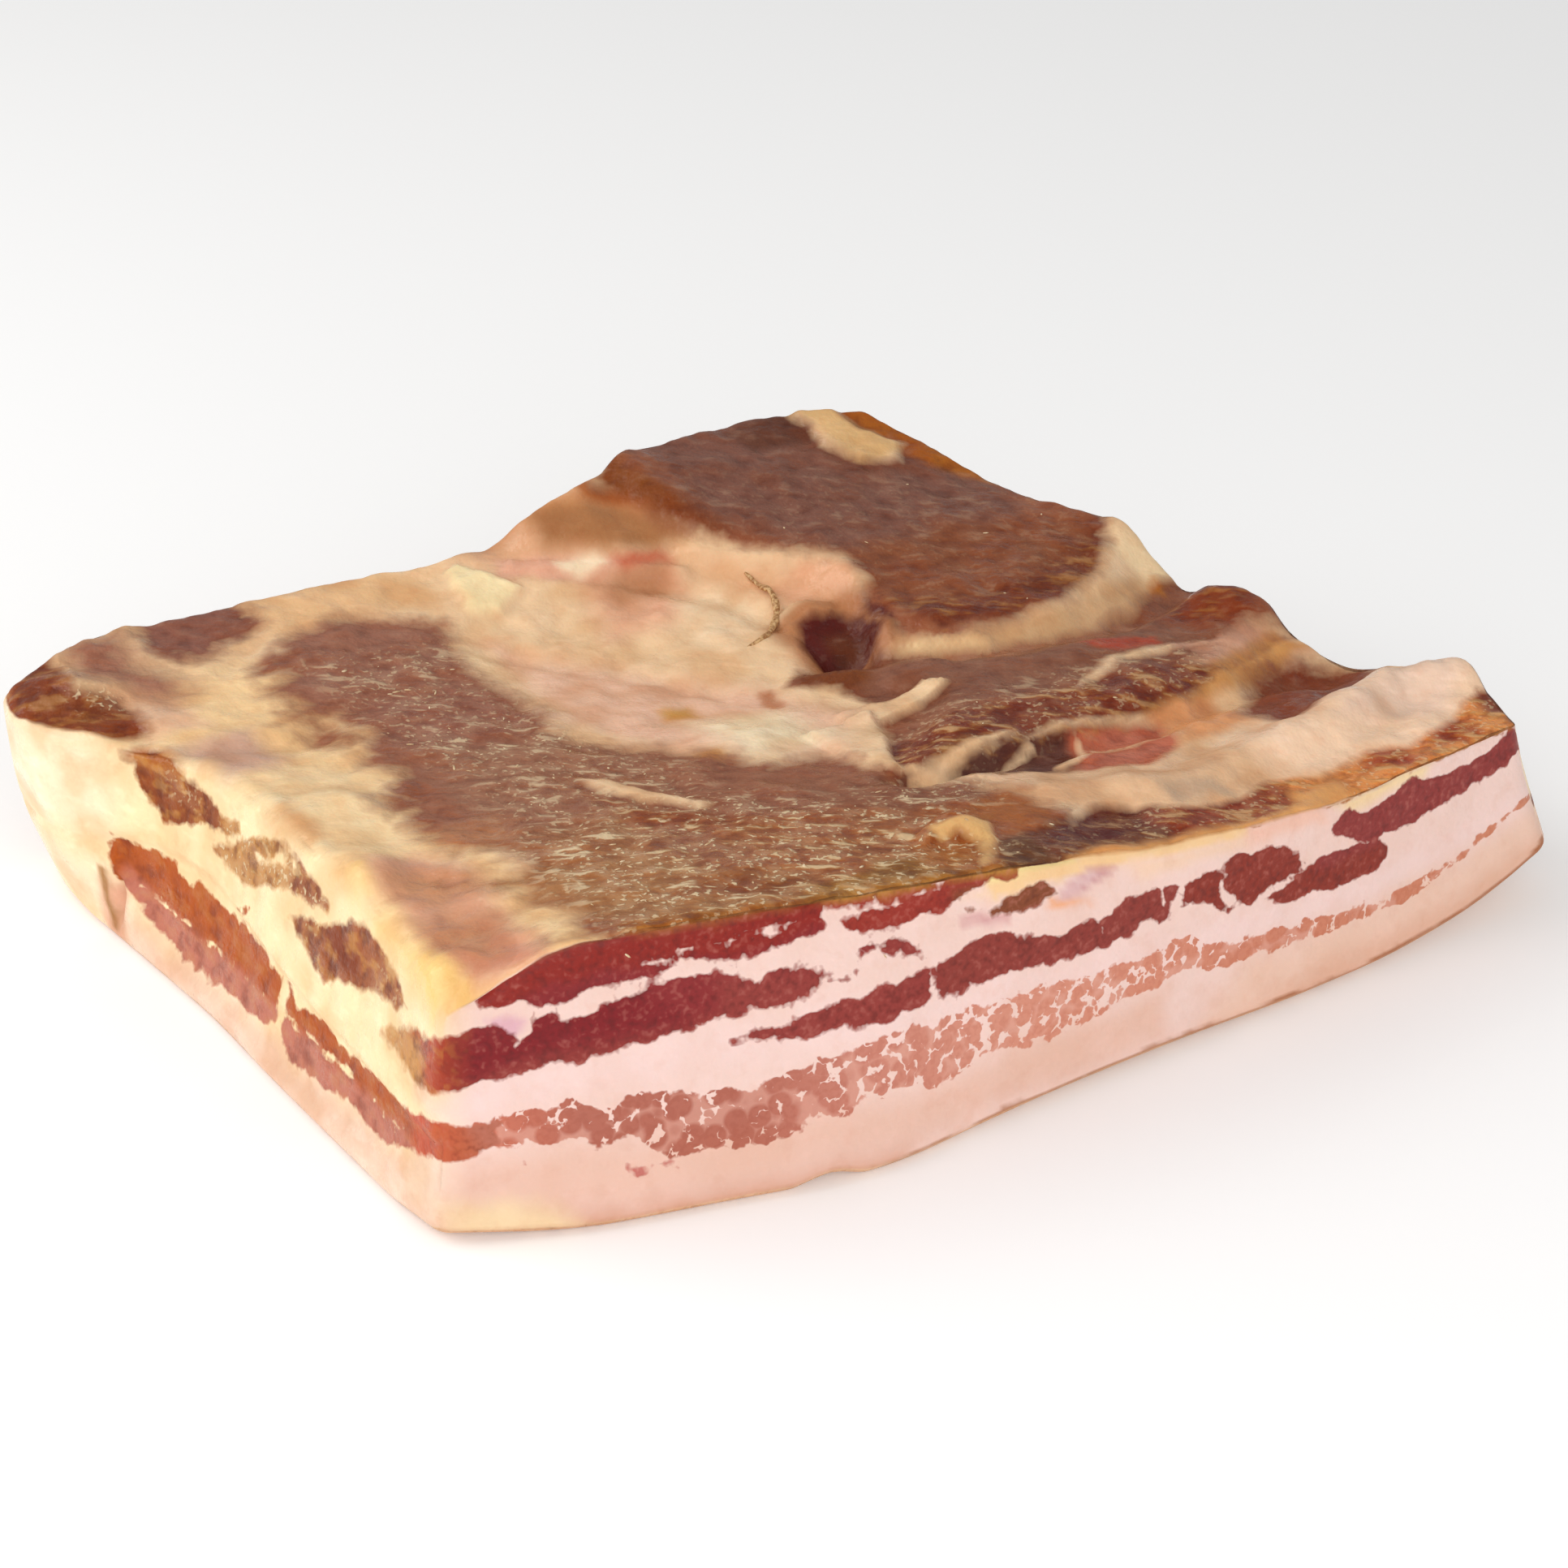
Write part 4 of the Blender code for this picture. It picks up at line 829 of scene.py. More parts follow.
class SlabSurface:
    """What lies at each point of the slab's surface.

    Depths and softness are in millimetres, tints are linear colours, and the rest are shares.
    """

    def __init__(self, count):
        self.lean_depth = np.full(count, -8.0)
        self.softness = np.full(count, 0.5)
        self.lean_tint = np.tile(daylight(HIDDEN_LEAN), (count, 1))
        self.fat_tint = np.tile(daylight(HIDDEN_FAT), (count, 1))
        self.grain_depth = np.full(count, -8.0)
        self.grain_share = np.full(count, 0.5)
        self.grain_tint = np.tile(daylight(GRAIN_TINTS[0][1]), (count, 1))
        self.frost = np.zeros(count)
        self.seamless = np.ones(count)
        self.gold = np.zeros(count)
        self.fresh = np.zeros(count)
        self.dried = np.zeros(count)
        self.rind = np.zeros(count)

    def lay(self, lean, fat, lean_tints, fat_tints, x, y):
        """Lays lean and fat with their tints at plan places or places on a cut."""
        self.lean_depth, self.softness = lean_depth(lean, fat, x, y)
        self.lean_tint = tinted(lean_tints, x, y)
        self.fat_tint = tinted(fat_tints, x, y)

    def take(self, where, other, share=1.0):
        """Takes the other surface's points in at these places, wholly or by a share."""
        for name, values in vars(self).items():
            part = share[:, None] if values.ndim == 2 and np.ndim(share) else share
            values[where] = mix(values[where], getattr(other, name), part)

    def numbers(self):
        return {name: value for name, value in vars(self).items() if value.ndim == 1}

    def colours(self):
        return {name: value for name, value in vars(self).items() if value.ndim == 2}


def flat(tints):
    """Tints on a cut with their heights turned to millimetres."""
    return tuple((on_cut(outline), *rest) for outline, *rest in tints)


def flesh_side(x, y):
    """The lean inner side of the belly, on top."""
    x, y = wander(x, y, 11)
    surface = SlabSurface(len(x))
    surface.lay(LEAN_ON_TOP, FAT_ON_TOP, LEAN_TINTS_ON_TOP, FAT_TINTS_ON_TOP, x, y)
    surface.frost = np.clip(laid(FROSTED, x, y), 0, 1)
    surface.gold = np.clip(laid(GILDED, x, y), 0, 1)
    return surface


def fresh_cut(x, w):
    """The pink and red cut at the front, with its pale granular streak."""
    along, height = wander(x, w * THICKNESS, 31)
    surface = SlabSurface(len(x))
    surface.lay(flat(LEAN_ON_FRESH_CUT), flat(FAT_ON_FRESH_CUT), flat(LEAN_TINTS_ON_FRESH_CUT),
                flat(FAT_TINTS_ON_FRESH_CUT), along, height)
    top, foot = spline(GRAINS_TOP, x), spline(GRAINS_FOOT, x)
    surface.grain_depth = np.minimum(top - w, w - foot) * THICKNESS
    surface.grain_share = spline(GRAINS_SHARE, x)
    places = [place for place, _ in GRAIN_TINTS]
    tints = np.array([daylight(tint) for _, tint in GRAIN_TINTS])
    surface.grain_tint = np.stack([np.interp(x, places, column) for column in tints.T], 1)
    surface.fresh += 1
    return surface


def old_cut(y, w):
    """The yellowed, dried cut at the left."""
    along, height = wander(y, w * THICKNESS, 51)
    surface = SlabSurface(len(y))
    surface.lay(flat(LEAN_ON_OLD_CUT), flat(FAT_ON_OLD_CUT), flat(LEAN_TINTS_ON_OLD_CUT),
                flat(FAT_TINTS_ON_OLD_CUT), along, height)
    surface.gold = 0.25 + 0.55 * smooth(0.5, 0.6, w)
    surface.frost = np.clip(laid(flat(FROSTED_OLD_CUT), along, height), 0, 1)
    surface.dried += 1
    return surface


def hidden_side(bands, share, along, w):
    """A side with lean bands that follow the slab's layers, swelling, thinning and marbled along it."""
    w = w + 0.05 * swell(along, 30 * w, 0 * w, 17.0, 71) + 0.03 * swell(along, 60 * w, 0 * w, 6.0, 73)
    surface = SlabSurface(len(w))
    depth = np.full(w.shape, -20.0)
    for order, (middle, half) in enumerate(bands):
        width = spline(half, share) * (1 + 0.8 * swell(along, 9.0 * order + 0 * w, 0 * w, 19.0, 75))
        band = (width - np.abs(w - spline(middle, share))) * THICKNESS
        depth = np.maximum(depth, band)
        tone = smooth(-0.3, 0.3, swell(along, 5.0 * order + 20 * w, 0 * w, 13.0, 77))[:, None]
        shade = mix(daylight(HIDDEN_LEAN_DARK), daylight(HIDDEN_LEAN_LIGHT), tone)
        surface.lean_tint = np.where(band[:, None] > -1.5, shade, surface.lean_tint)
    marbling = np.abs(swell(along, 90 * w, 0 * w, 9.0, 79))
    surface.lean_depth = np.clip(np.where(marbling < 0.035, np.minimum(depth, -0.3), depth), -8, 8)
    pinker = smooth(0.45, 0.1, w + 0.3 * swell(along, 20 * w, 0 * w, 15.0, 81))[:, None]
    surface.fat_tint = mix(surface.fat_tint, daylight(HIDDEN_FAT_BY_RIND), pinker)
    surface.softness += 0.2
    surface.gold += 0.3
    surface.dried += 1
    return surface


def painted(u, v, w, x, y):
    """The slab's whole surface. Neighbouring sides run into each other round the old cut's edges."""
    inner = w > 1e-4
    on_top = w > 1 - 1e-4
    on_front = (v < 1e-4) & ~on_top & inner
    on_left = (u < 1e-4) & ~on_top & ~on_front & inner
    on_back = (v > 1 - 1e-4) & ~on_top & ~on_left & inner
    on_right = (u > 1 - 1e-4) & ~on_top & ~on_front & ~on_back & inner
    surface = SlabSurface(len(u))
    surface.take(on_top, flesh_side(x[on_top], y[on_top]))
    surface.take(on_front, fresh_cut(x[on_front], w[on_front]))
    surface.take(on_left, old_cut(y[on_left], w[on_left]))
    surface.take(on_back, hidden_side(BACK_BANDS, u[on_back], x[on_back], w[on_back]))
    surface.take(on_right, hidden_side(RIGHT_BANDS, v[on_right], y[on_right], w[on_right]))

    def lap(where, other, distance):
        surface.take(where, other, 0.5 * (1 - distance[where] / CORNER_BLEND))

    from_left, from_front, from_top = u * WIDTH, v * DEPTH, (1 - w) * THICKNESS
    near = on_front & (from_left < CORNER_BLEND)
    lap(near, old_cut(y[near], w[near]), from_left)
    near = on_left & (from_front < CORNER_BLEND)
    lap(near, fresh_cut(x[near], w[near]), from_front)
    near = on_top & (from_left < CORNER_BLEND)
    lap(near, old_cut(y[near], w[near]), from_left)
    near = on_left & (from_top < CORNER_BLEND)
    lap(near, flesh_side(x[near], y[near]), from_top)

    seam = on_top & (from_left < 0.5) | on_left & ((from_top < 1.5) | (DEPTH - from_front < 1.5))
    surface.seamless[seam] = 0
    surface.rind[~inner] = 1
    edge = (w < RIND_REACH) & (u > 1e-4)
    surface.rind[edge] = np.maximum(surface.rind[edge], 0.6 * (1 - w[edge] / RIND_REACH))
    return surface, on_top, on_front, on_left


def cut_block():
    """A unit block, from 0 to 1 each way, with its six sides cut into fine faces."""
    bm = bmesh.new()
    bmesh.ops.create_cube(bm, size=1)
    bmesh.ops.translate(bm, vec=(0.5, 0.5, 0.5), verts=bm.verts)
    for axis, faces in enumerate((FACES_WIDE, FACES_DEEP, FACES_HIGH)):
        along = [e for e in bm.edges if abs(e.verts[0].co[axis] - e.verts[1].co[axis]) > 0.5]
        bmesh.ops.subdivide_edges(bm, edges=along, cuts=faces - 1, use_grid_fill=True)
    bm.normal_update()
    inner = [v for v in bm.verts if v.co.z < 1e-4 and RIND_BORDER < v.co.x < 1 - RIND_BORDER
             and RIND_BORDER < v.co.y < 1 - RIND_BORDER]
    bmesh.ops.unsubdivide(bm, verts=inner, iterations=6)
    return bm


def middle_on_table(places):
    """The shift that puts these places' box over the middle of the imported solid's, and on its foot."""
    low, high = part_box("pancetta_slab")
    middle = (places.min(0) + places.max(0)) / 2
    foot = places[:, 2].min()
    return np.array([(low.x + high.x) / 2 - middle[0], (low.y + high.y) / 2 - middle[1], low.z - foot])


def store(mesh, surface, places):
    """Keeps what the surface is made of on the mesh, for its material to read."""
    for name, values in surface.numbers().items():
        layer = mesh.attributes.new(name, "FLOAT", "POINT")
        layer.data.foreach_set("value", values.astype(np.float32))
    for name, values in surface.colours().items():
        layer = mesh.attributes.new(name, "FLOAT_COLOR", "POINT")
        filled = np.concatenate([values, np.ones((len(values), 1))], 1)
        layer.data.foreach_set("color", filled.astype(np.float32).ravel())
    layer = mesh.attributes.new("fibre_place", "FLOAT_VECTOR", "POINT")
    layer.data.foreach_set("vector", places.astype(np.float32).ravel())


class Wire:
    """A value in a material's nodes. Arithmetic on it adds Math nodes."""

    def __init__(self, finish, socket):
        self.finish = finish
        self.socket = socket

    def reckon(self, operation, *values):
        """Adds one Math node."""
        return self.finish.node("ShaderNodeMath", {"operation": operation}, dict(enumerate(values)))

    def __add__(self, other):
        return self.reckon("ADD", self, other)

    __radd__ = __add__

    def __sub__(self, other):
        return self.reckon("SUBTRACT", self, other)

    def __rsub__(self, other):
        return self.reckon("SUBTRACT", other, self)

    def __mul__(self, other):
        return self.reckon("MULTIPLY", self, other)

    __rmul__ = __mul__

    def __truediv__(self, other):
        return self.reckon("DIVIDE", self, other)

    def __rtruediv__(self, other):
        return self.reckon("DIVIDE", other, self)

    def limited(self):
        """Held between 0 and 1."""
        return self.reckon("MINIMUM", self.reckon("MAXIMUM", self, 0.0), 1.0)

    def step(self, low, high):
        """0 at low, 1 at high, and a straight step between them."""
        return ((self - low) / (high - low)).limited()


class Finish:
    """A material being put together, node by node."""

    def __init__(self, name):
        self.material = bpy.data.materials.new(name)
        self.material.use_nodes = True
        self.tree = self.material.node_tree
        self.shader = self.tree.nodes["Principled BSDF"]
        self.places = self.node("ShaderNodeTexCoord", {}, {}, "Object")

    def node(self, kind, settings, values, output=0):
        """Adds a node, its settings first and then its sockets' values or links. Gives one output."""
        node = self.tree.nodes.new(kind)
        for name, value in settings.items():
            setattr(node, name, value)
        for name, value in values.items():
            self.plug(node.inputs[name], value)
        return Wire(self, node.outputs[output])

    def plug(self, socket, value):
        """Links a wire to the socket, or sets its value."""
        if isinstance(value, Wire):
            self.tree.links.new(value.socket, socket)
        else:
            socket.default_value = value

    def set(self, **values):
        """Sets the shader's own sockets."""
        for name, value in values.items():
            self.plug(self.shader.inputs[name.replace("_", " ").title()], value)

    def stored(self, name, output="Fac"):
        """What the mesh stores under this name."""
        return self.node("ShaderNodeAttribute", {"attribute_name": name}, {}, output)

    def blend(self, share, a, b, how="MIX"):
        """Colour a at share 0 and b at share 1."""
        settings = {"data_type": "RGBA", "blend_type": how}
        return self.node("ShaderNodeMix", settings, {0: share, 6: a, 7: b}, 2)

    def times(self, colour, share):
        """The colour with each of its channels multiplied."""
        return self.blend(1.0, colour, (*share, 1), "MULTIPLY")

    def shifted(self, distance):
        """Places moved to and fro by an uneven distance in metres."""
        move = self.node("ShaderNodeCombineXYZ", {}, {"X": distance, "Y": distance, "Z": distance * 0.8})
        return self.node("ShaderNodeVectorMath", {"operation": "ADD"}, {0: self.places, 1: move})

    def cloud(self, size, detail=2.0, rough=0.5, places=None):
        """Noise from about 0 to 1, with its features of this size in metres."""
        values = {"Vector": places or self.places, "Scale": 1 / size, "Detail": detail, "Roughness": rough}
        return self.node("ShaderNodeTexNoise", {}, values)

    def cells(self, size, places=None):
        """Distance to the middle of the nearest of many cells of this size in metres."""
        values = {"Vector": places or self.places, "Scale": 1 / size}
        return self.node("ShaderNodeTexVoronoi", {}, values, "Distance")

    def relief(self, height, depth):
        """A bump this deep, in metres, for the shader's normal."""
        return self.node("ShaderNodeBump", {}, {"Height": height, "Distance": depth, "Strength": 1.0})


def opaque(colour):
    """A colour as it looks, as a node's colour."""
    return (*daylight(colour), 1)


def slab_finish(look):
    """Fat and lean with their own grain, by what is stored on the slab."""
    f = Finish("cured_pork_belly")
    fresh, dried, rind = f.stored("fresh"), f.stored("dried"), f.stored("rind")
    frost, gold = f.stored("frost"), f.stored("gold")
    depth = f.stored("lean_depth")
    flesh_side = (1 - fresh - dried - rind).limited()

    soft = f.cloud(0.011, 1.0, 0.45)
    mottle = f.cloud(0.0042, 3.0, 0.55)
    fine = f.cloud(0.0012, 1.0, 0.5)
    fibres = f.cloud(0.0027, 2.0, 0.5, f.stored("fibre_place", "Vector"))
    streaks = (fibres - 0.5) * f.stored("seamless") + 0.5
    lobes = f.cells(0.0036)

    softness = f.stored("softness")
    ragged = (streaks - 0.5) * 5.0 + (mottle - 0.5) * 6.0 + (soft - 0.5) * 5.0
    lobed = (fine - 0.5) * 1.2 + (0.56 - lobes) * 1.7
    edge = ragged * flesh_side * softness.step(0.4, 1.6) + lobed * (1 - flesh_side)
    lean = ((depth + edge) / (2 * softness * (1 + 0.8 * flesh_side)) + 0.5).limited()

    fat = f.stored("fat_tint", "Color")
    # Painted shade: the fat is darkened brown-pink where the broad unevenness of its bump sinks.
    fat = f.blend(soft.step(0.50, 0.36) * (0.52 - 0.4 * fresh), fat, f.times(fat, (0.88, 0.72, 0.58)))
    fat = f.blend(mottle.step(0.48, 0.34) * (0.35 - 0.1 * fresh), fat, f.times(fat, (0.90, 0.77, 0.70)))
    # Partly the fat's own paler patches, partly painted highlight: the fat is lightened where the broad
    # unevenness of its bump swells.
    fat = f.blend(soft.step(0.50, 0.64) * (0.8 - 0.6 * fresh), fat, f.times(fat, (1.10, 1.11, 1.14)))
    fat = f.blend(streaks.step(0.54, 0.68) * (0.6 - 0.45 * fresh), fat, f.times(fat, (1.12, 1.14, 1.20)))

    flesh = f.stored("lean_tint", "Color")
    flesh = f.blend(soft.step(0.44, 0.56) * 0.5 * flesh_side, flesh, f.times(flesh, (1.00, 0.76, 0.52)))
    flesh = f.blend(depth.step(5.0, 0.5) * 0.6 * flesh_side, flesh, f.times(flesh, (0.86, 0.64, 0.38)))
    grain = ((streaks * 0.5 + mottle * 0.5) * (1 - fresh) + (fine * 0.6 + (0.74 - lobes * 0.5) * 0.4) * fresh)
    flesh = f.blend(grain.step(0.50, 0.34) * 0.75, flesh, f.times(flesh, (0.60, 0.46, 0.40)))
    pale = f.blend(fresh, opaque((212, 170, 142)), opaque((206, 132, 118)))
    flesh = f.blend(grain.step(0.54, 0.70) * (0.17 + 0.25 * frost + 0.13 * fresh), flesh, pale)

    flecks = fine.step(0.57, 0.65) * mottle.step(0.42, 0.54) + streaks.step(0.60, 0.68)
    salt = (flecks + mottle.step(0.44, 0.66) * 0.2).limited() * frost
    flesh = f.blend(salt * 0.85, flesh, opaque((236, 212, 172)))
    flesh = f.blend(streaks.step(0.50, 0.64) * gold * 0.6, flesh, opaque((206, 146, 74)))
    flesh = f.blend(mottle.step(0.50, 0.36) * gold * 0.5, flesh, opaque((88, 46, 24)))

    moved = f.shifted((mottle - 0.5) * 0.005 + (fine - 0.5) * 0.0012)
    grains = f.cells(0.0021, places=moved)
    within = f.stored("grain_depth") + (0.60 - lobes) * 2.4 + (fine - 0.5) * 1.6
    grain_mask = (0.44 + 0.33 * f.stored("grain_share") - grains).step(-0.03, 0.04) * within.step(-0.15, 0.25)
    grain_tint = f.stored("grain_tint", "Color")
    grain_tint = f.blend(fine.step(0.45, 0.60) * 0.4, grain_tint, f.times(grain_tint, (0.84, 0.66, 0.58)))
    grain_tint = f.blend(lobes.step(0.55, 0.75) * 0.5, grain_tint, opaque((224, 168, 150)))
    fat = f.blend(grain_mask * 0.95, fat, grain_tint)

    colour = f.blend(lean, fat, flesh)
    skin = f.blend(fine.step(0.5, 0.4) * 0.4, (*look.rind_colour, 1), opaque((170, 118, 84)))
    skin = f.blend(mottle.step(0.4, 0.7) * 0.5, skin, opaque((226, 186, 150)))
    colour = f.blend(rind, colour, skin)

    bulk = (depth / (3 * softness) + 0.5).limited()
    height = ((soft - 0.5) * (2.2 - 1.6 * fresh) + (mottle - 0.5) * (0.35 + 0.7 * bulk) * (1 - 0.6 * fresh)
              + (streaks - 0.5) * (0.15 + 0.6 * bulk) * (1 - fresh) + fine * 0.2 + salt * bulk * 0.25)
    wet = soft.step(0.46, 0.60) * 0.2 * (1 - fresh)
    dull = look.roughness + (fine - 0.5) * 0.3 - wet - (1 - lean) * 0.08 + salt * 0.2
    f.set(Base_Color=colour, Roughness=dull.limited(), Normal=f.relief(height, look.relief),
          Subsurface_Weight=look.glow, Subsurface_Radius=(1.0, 0.45, 0.3), Subsurface_Scale=0.002)
    f.shader.inputs["IOR"].default_value = 1.4
    f.shader.inputs["Specular IOR Level"].default_value = 0.4
    return f.material


def finished(name, bm, material):
    """The piece made from a bmesh, in place, with its material."""
    bmesh.ops.recalc_face_normals(bm, faces=bm.faces)
    mesh = bpy.data.meshes.new(name)
    bm.to_mesh(mesh)
    bm.free()
    mesh.materials.append(material)
    mesh.shade_smooth()
    piece = bpy.data.objects.new(name, mesh)
    bpy.context.scene.collection.objects.link(piece)
    return piece


class PancettaLook(bpy.types.PropertyGroup):
    """Sizes and finishes of the slab that can be changed before it is made."""

    roughness: bpy.props.FloatProperty(
        name="Roughness", description="How dull the meat is", default=0.48, min=0, max=1, subtype="FACTOR")
    glow: bpy.props.FloatProperty(
        name="Glow", description="How much light passes through the fat", default=0.12, min=0, max=1,
        subtype="FACTOR")
    relief: bpy.props.FloatProperty(
        name="Relief", description="Depth of the finest unevenness", default=0.0007, min=0, unit="LENGTH")
    rind_colour: bpy.props.FloatVectorProperty(
        name="Rind", description="Colour of the rind", default=tuple(daylight(RIND_TINT)), size=3, min=0,
        max=1, subtype="COLOR")
    strand_radius: bpy.props.FloatProperty(
        name="Sinew radius", description="Radius of the loose strand of sinew", default=0.00072, min=0,
        unit="LENGTH")
    salt_tries: bpy.props.IntProperty(
        name="Salt tries", description="How many places are tried for a grain of salt", default=5200, min=0)


class PancettaStageLook(bpy.types.PropertyGroup):
    """The light and floor around the slab."""

    floor_colour: bpy.props.FloatVectorProperty(
        name="Floor", description="Colour of the floor", default=(0.99, 0.99, 0.99), size=3, min=0, max=1,
        subtype="COLOR")
    floor_glow: bpy.props.FloatProperty(
        name="Floor glow", description="How much light the floor gives of its own, as if lit from below",
        default=0.14, min=0)
    daylight: bpy.props.FloatProperty(
        name="Daylight", description="Strength of the even light from all sides", default=0.46, min=0)
    window: bpy.props.FloatProperty(
        name="Window", description="Power of the large soft light at the left", default=6.8, min=0,
        unit="POWER")
    fill: bpy.props.FloatProperty(
        name="Fill", description="Power of the soft light in front", default=6.0, min=0, unit="POWER")


class PANCETTA_OT_slab(bpy.types.Operator):
    """Makes the slab of pork belly with its painted sides"""

    bl_idname = "pancetta.slab"
    bl_label = "Slab"

    def execute(self, context):
        bm = cut_block()
        u, v, w = np.array([vertex.co[:] for vertex in bm.verts]).T
        u, v = crowd(u), crowd(v)
        solid = np.stack(block_point(*rounded(u, v, w, solid_radius(w))), 1)
        shift = middle_on_table(solid * MM)
        x, y, z = block_point(*rounded(u, v, w, dressed_radius(u, w)))
        surface, on_top, on_front, on_left = painted(u, v, w, x, y)

        z = z + w * SWELL_HEIGHT * swell(x, y, 0 * z, SWELL_SIZE, 3)
        x = x - np.where(on_left, old_cut_relief(y, w), 0)
        z = z + np.where(on_top, laid(RISES_ON_TOP, x, y), 0)
        uneven = sum(height * swell(x, y, 0 * z, size, seed) for height, size, seed in FLESH_UNEVENNESS)
        z = z + np.where(on_top, uneven, 0)
        z = z - np.where(on_top, LEAN_SUNK * smooth(-1.2, 1.2, surface.lean_depth), 0)
        ripple = CUT_RIPPLE * swell(x, y, z, 9.0, 41)
        y = y + np.where(on_front, ripple, 0)
        x = x + np.where(on_left, ripple, 0)

        for vertex, place in zip(bm.verts, np.stack([x, y, z], 1) * MM + shift):
            vertex.co = place
        slab = finished("pancetta_slab_dressed", bm, slab_finish(context.scene.pancetta_look))
        store(slab.data, surface, along_fibres(x, y, z, on_top, on_left))
        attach(slab, "root")
        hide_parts("pancetta_slab")
        context.scene["slab_shift"] = shift.tolist()
        return {"FINISHED"}


# The loose strand of sinew on the fat: places in plan and how high it arches there, in millimetres.
STRAND = ((115.6, 136, -0.2), (116.4, 131.5, 1), (117, 127.5, 1.6), (116, 123, 1.4), (113.6, 119.5, 0.7),
          (109.5, 115.5, 0.1), (104, 114, -0.3))
STRAND_STEPS = 40

# Grains of salt: the plan area they may lie in, and their half lengths in millimetres.
SALT_REACH = ((-30, 210), (-14, 172))
SALT_HALF_LENGTH = (0.14, 0.34)


def on_slab(slab, shift, x, y):
    """The point of the slab's flesh side over a plan place in millimetres, and the surface's direction."""
    above = Vector((x * MM, y * MM, 0.2)) + Vector(shift)
    hit, place, normal, _ = slab.ray_cast(above, (0, 0, -1))
    return (place, normal) if hit else (None, None)


class PANCETTA_OT_strand(bpy.types.Operator):
    """Makes the loose strand of sinew that arches over the fat"""

    bl_idname = "pancetta.strand"
    bl_label = "Sinew strand"

    def execute(self, context):
        slab, shift = context.scene.objects["pancetta_slab_dressed"], context.scene["slab_shift"]
        shares = np.linspace(0, 1, len(STRAND))
        keys = []
        for x, y, rise in STRAND:
            place, _ = on_slab(slab, shift, x, y)
            keys.append(place + Vector((0, 0, rise * MM)))
        columns = [tuple(zip(shares, column)) for column in zip(*keys)]

        bm = bmesh.new()
        bmesh.ops.create_cone(bm, cap_ends=True, segments=10, radius1=1, radius2=1, depth=1)
        lengthways = [e for e in bm.edges if abs(e.verts[0].co.z - e.verts[1].co.z) > 0.5]
        bmesh.ops.subdivide_edges(bm, edges=lengthways, cuts=STRAND_STEPS - 1)
        side, up, share = np.array([vertex.co[:] for vertex in bm.verts]).T
        share = share + 0.5
        middle = np.stack([spline(column, share) for column in columns], 1)
        ahead = np.stack([spline(column, share + 0.01) - spline(column, share - 0.01)
                          for column in columns], 1)
        across = np.stack([-ahead[:, 1], ahead[:, 0], 0 * share], 1)
        across /= np.linalg.norm(across, axis=1, keepdims=True)
        uneven = (1 - 0.55 * np.abs(2 * share - 1) ** 3) * (1 + 0.2 * np.sin(31 * share))
        radius = context.scene.pancetta_look.strand_radius * uneven
        places = middle + across * (side * radius)[:, None] + np.array([0, 0, 0.8]) * (up * radius)[:, None]
        for vertex, place in zip(bm.verts, places):
            vertex.co = place

        f = Finish("sinew")
        dark = f.cloud(0.0007, 2.0).step(0.35, 0.65)
        f.set(Base_Color=f.blend(dark, opaque((156, 104, 62)), opaque((222, 182, 130))), Roughness=0.45,
              Normal=f.relief(dark, 0.0001))
        strand = finished("sinew_strand", bm, f.material)
        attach(strand, "root")
        return {"FINISHED"}


class PANCETTA_OT_salt(bpy.types.Operator):
    """Strews grains of salt over the lean of the flesh side"""

    bl_idname = "pancetta.salt"
    bl_label = "Salt grains"

    def execute(self, context):
        slab, shift = context.scene.objects["pancetta_slab_dressed"], context.scene["slab_shift"]
        tries = context.scene.pancetta_look.salt_tries
        chance = np.random.default_rng(7)
        x, y = (chance.uniform(low, high, tries) for low, high in SALT_REACH)
        clusters = smooth(0, 0.45, swell(x, y, 0 * x, 5.5, 61))
        bare = ((inside(FRONT_MUSCLE, x, y) < 3) & (inside(BACK_MUSCLE, x, y) < 3)
                & (inside(MIDDLE_MUSCLE, x, y) < 2))
        likely = np.clip(laid(FROSTED, x, y), 0, 1) * clusters * np.where(bare, 0.1, 1)
        bm = bmesh.new()
        for place_x, place_y in np.stack([x, y], 1)[chance.random(tries) < likely]:
            place, normal = on_slab(slab, shift, place_x, place_y)
            if place is None:
                continue
            half = chance.uniform(*SALT_HALF_LENGTH) * MM
            turn = Matrix.Rotation(FIBRE_ANGLE + chance.normal(0, 0.6), 4, "Z")
            lean_over = normal.to_track_quat("Z", "Y").to_matrix().to_4x4()
            shape = (half * chance.uniform(1.2, 3.2), half * chance.uniform(0.6, 1), half * 0.5, 1)
            squash = Matrix.Diagonal(shape)
            bmesh.ops.create_icosphere(bm, subdivisions=1, radius=1,
                                       matrix=Matrix.Translation(place) @ lean_over @ turn @ squash)
        f = Finish("salt")
        tone = f.cloud(0.0012, 2.0).step(0.35, 0.65)
        f.set(Base_Color=f.blend(tone, opaque((206, 172, 126)), opaque((240, 218, 182))),
              Roughness=0.35 + 0.2 * tone)
        salt = finished("salt_grains", bm, f.material)
        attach(salt, "root")
        return {"FINISHED"}


# The camera that sees the slab as the photo does: place in metres beside the near corner, and lens in mm.
CAMERA_PLACE = (-0.2416453, -0.55293994, 0.393461)
CAMERA_AZIMUTH = math.radians(-28)
CAMERA_ELEVATION = math.radians(27)
CAMERA_LENS = 93.913


def soft_light(name, place, aim, size, power, colour):
    """A large soft light."""
    lamp = bpy.data.lights.new(name, "AREA")
    lamp.shape = "RECTANGLE"
    lamp.size, lamp.size_y = size
    lamp.energy = power
    lamp.color = colour
    light = bpy.data.objects.new(name, lamp)
    light.location = place
    light.rotation_euler = (Vector(aim) - Vector(place)).to_track_quat("-Z", "Y").to_euler()
    bpy.context.scene.collection.objects.link(light)


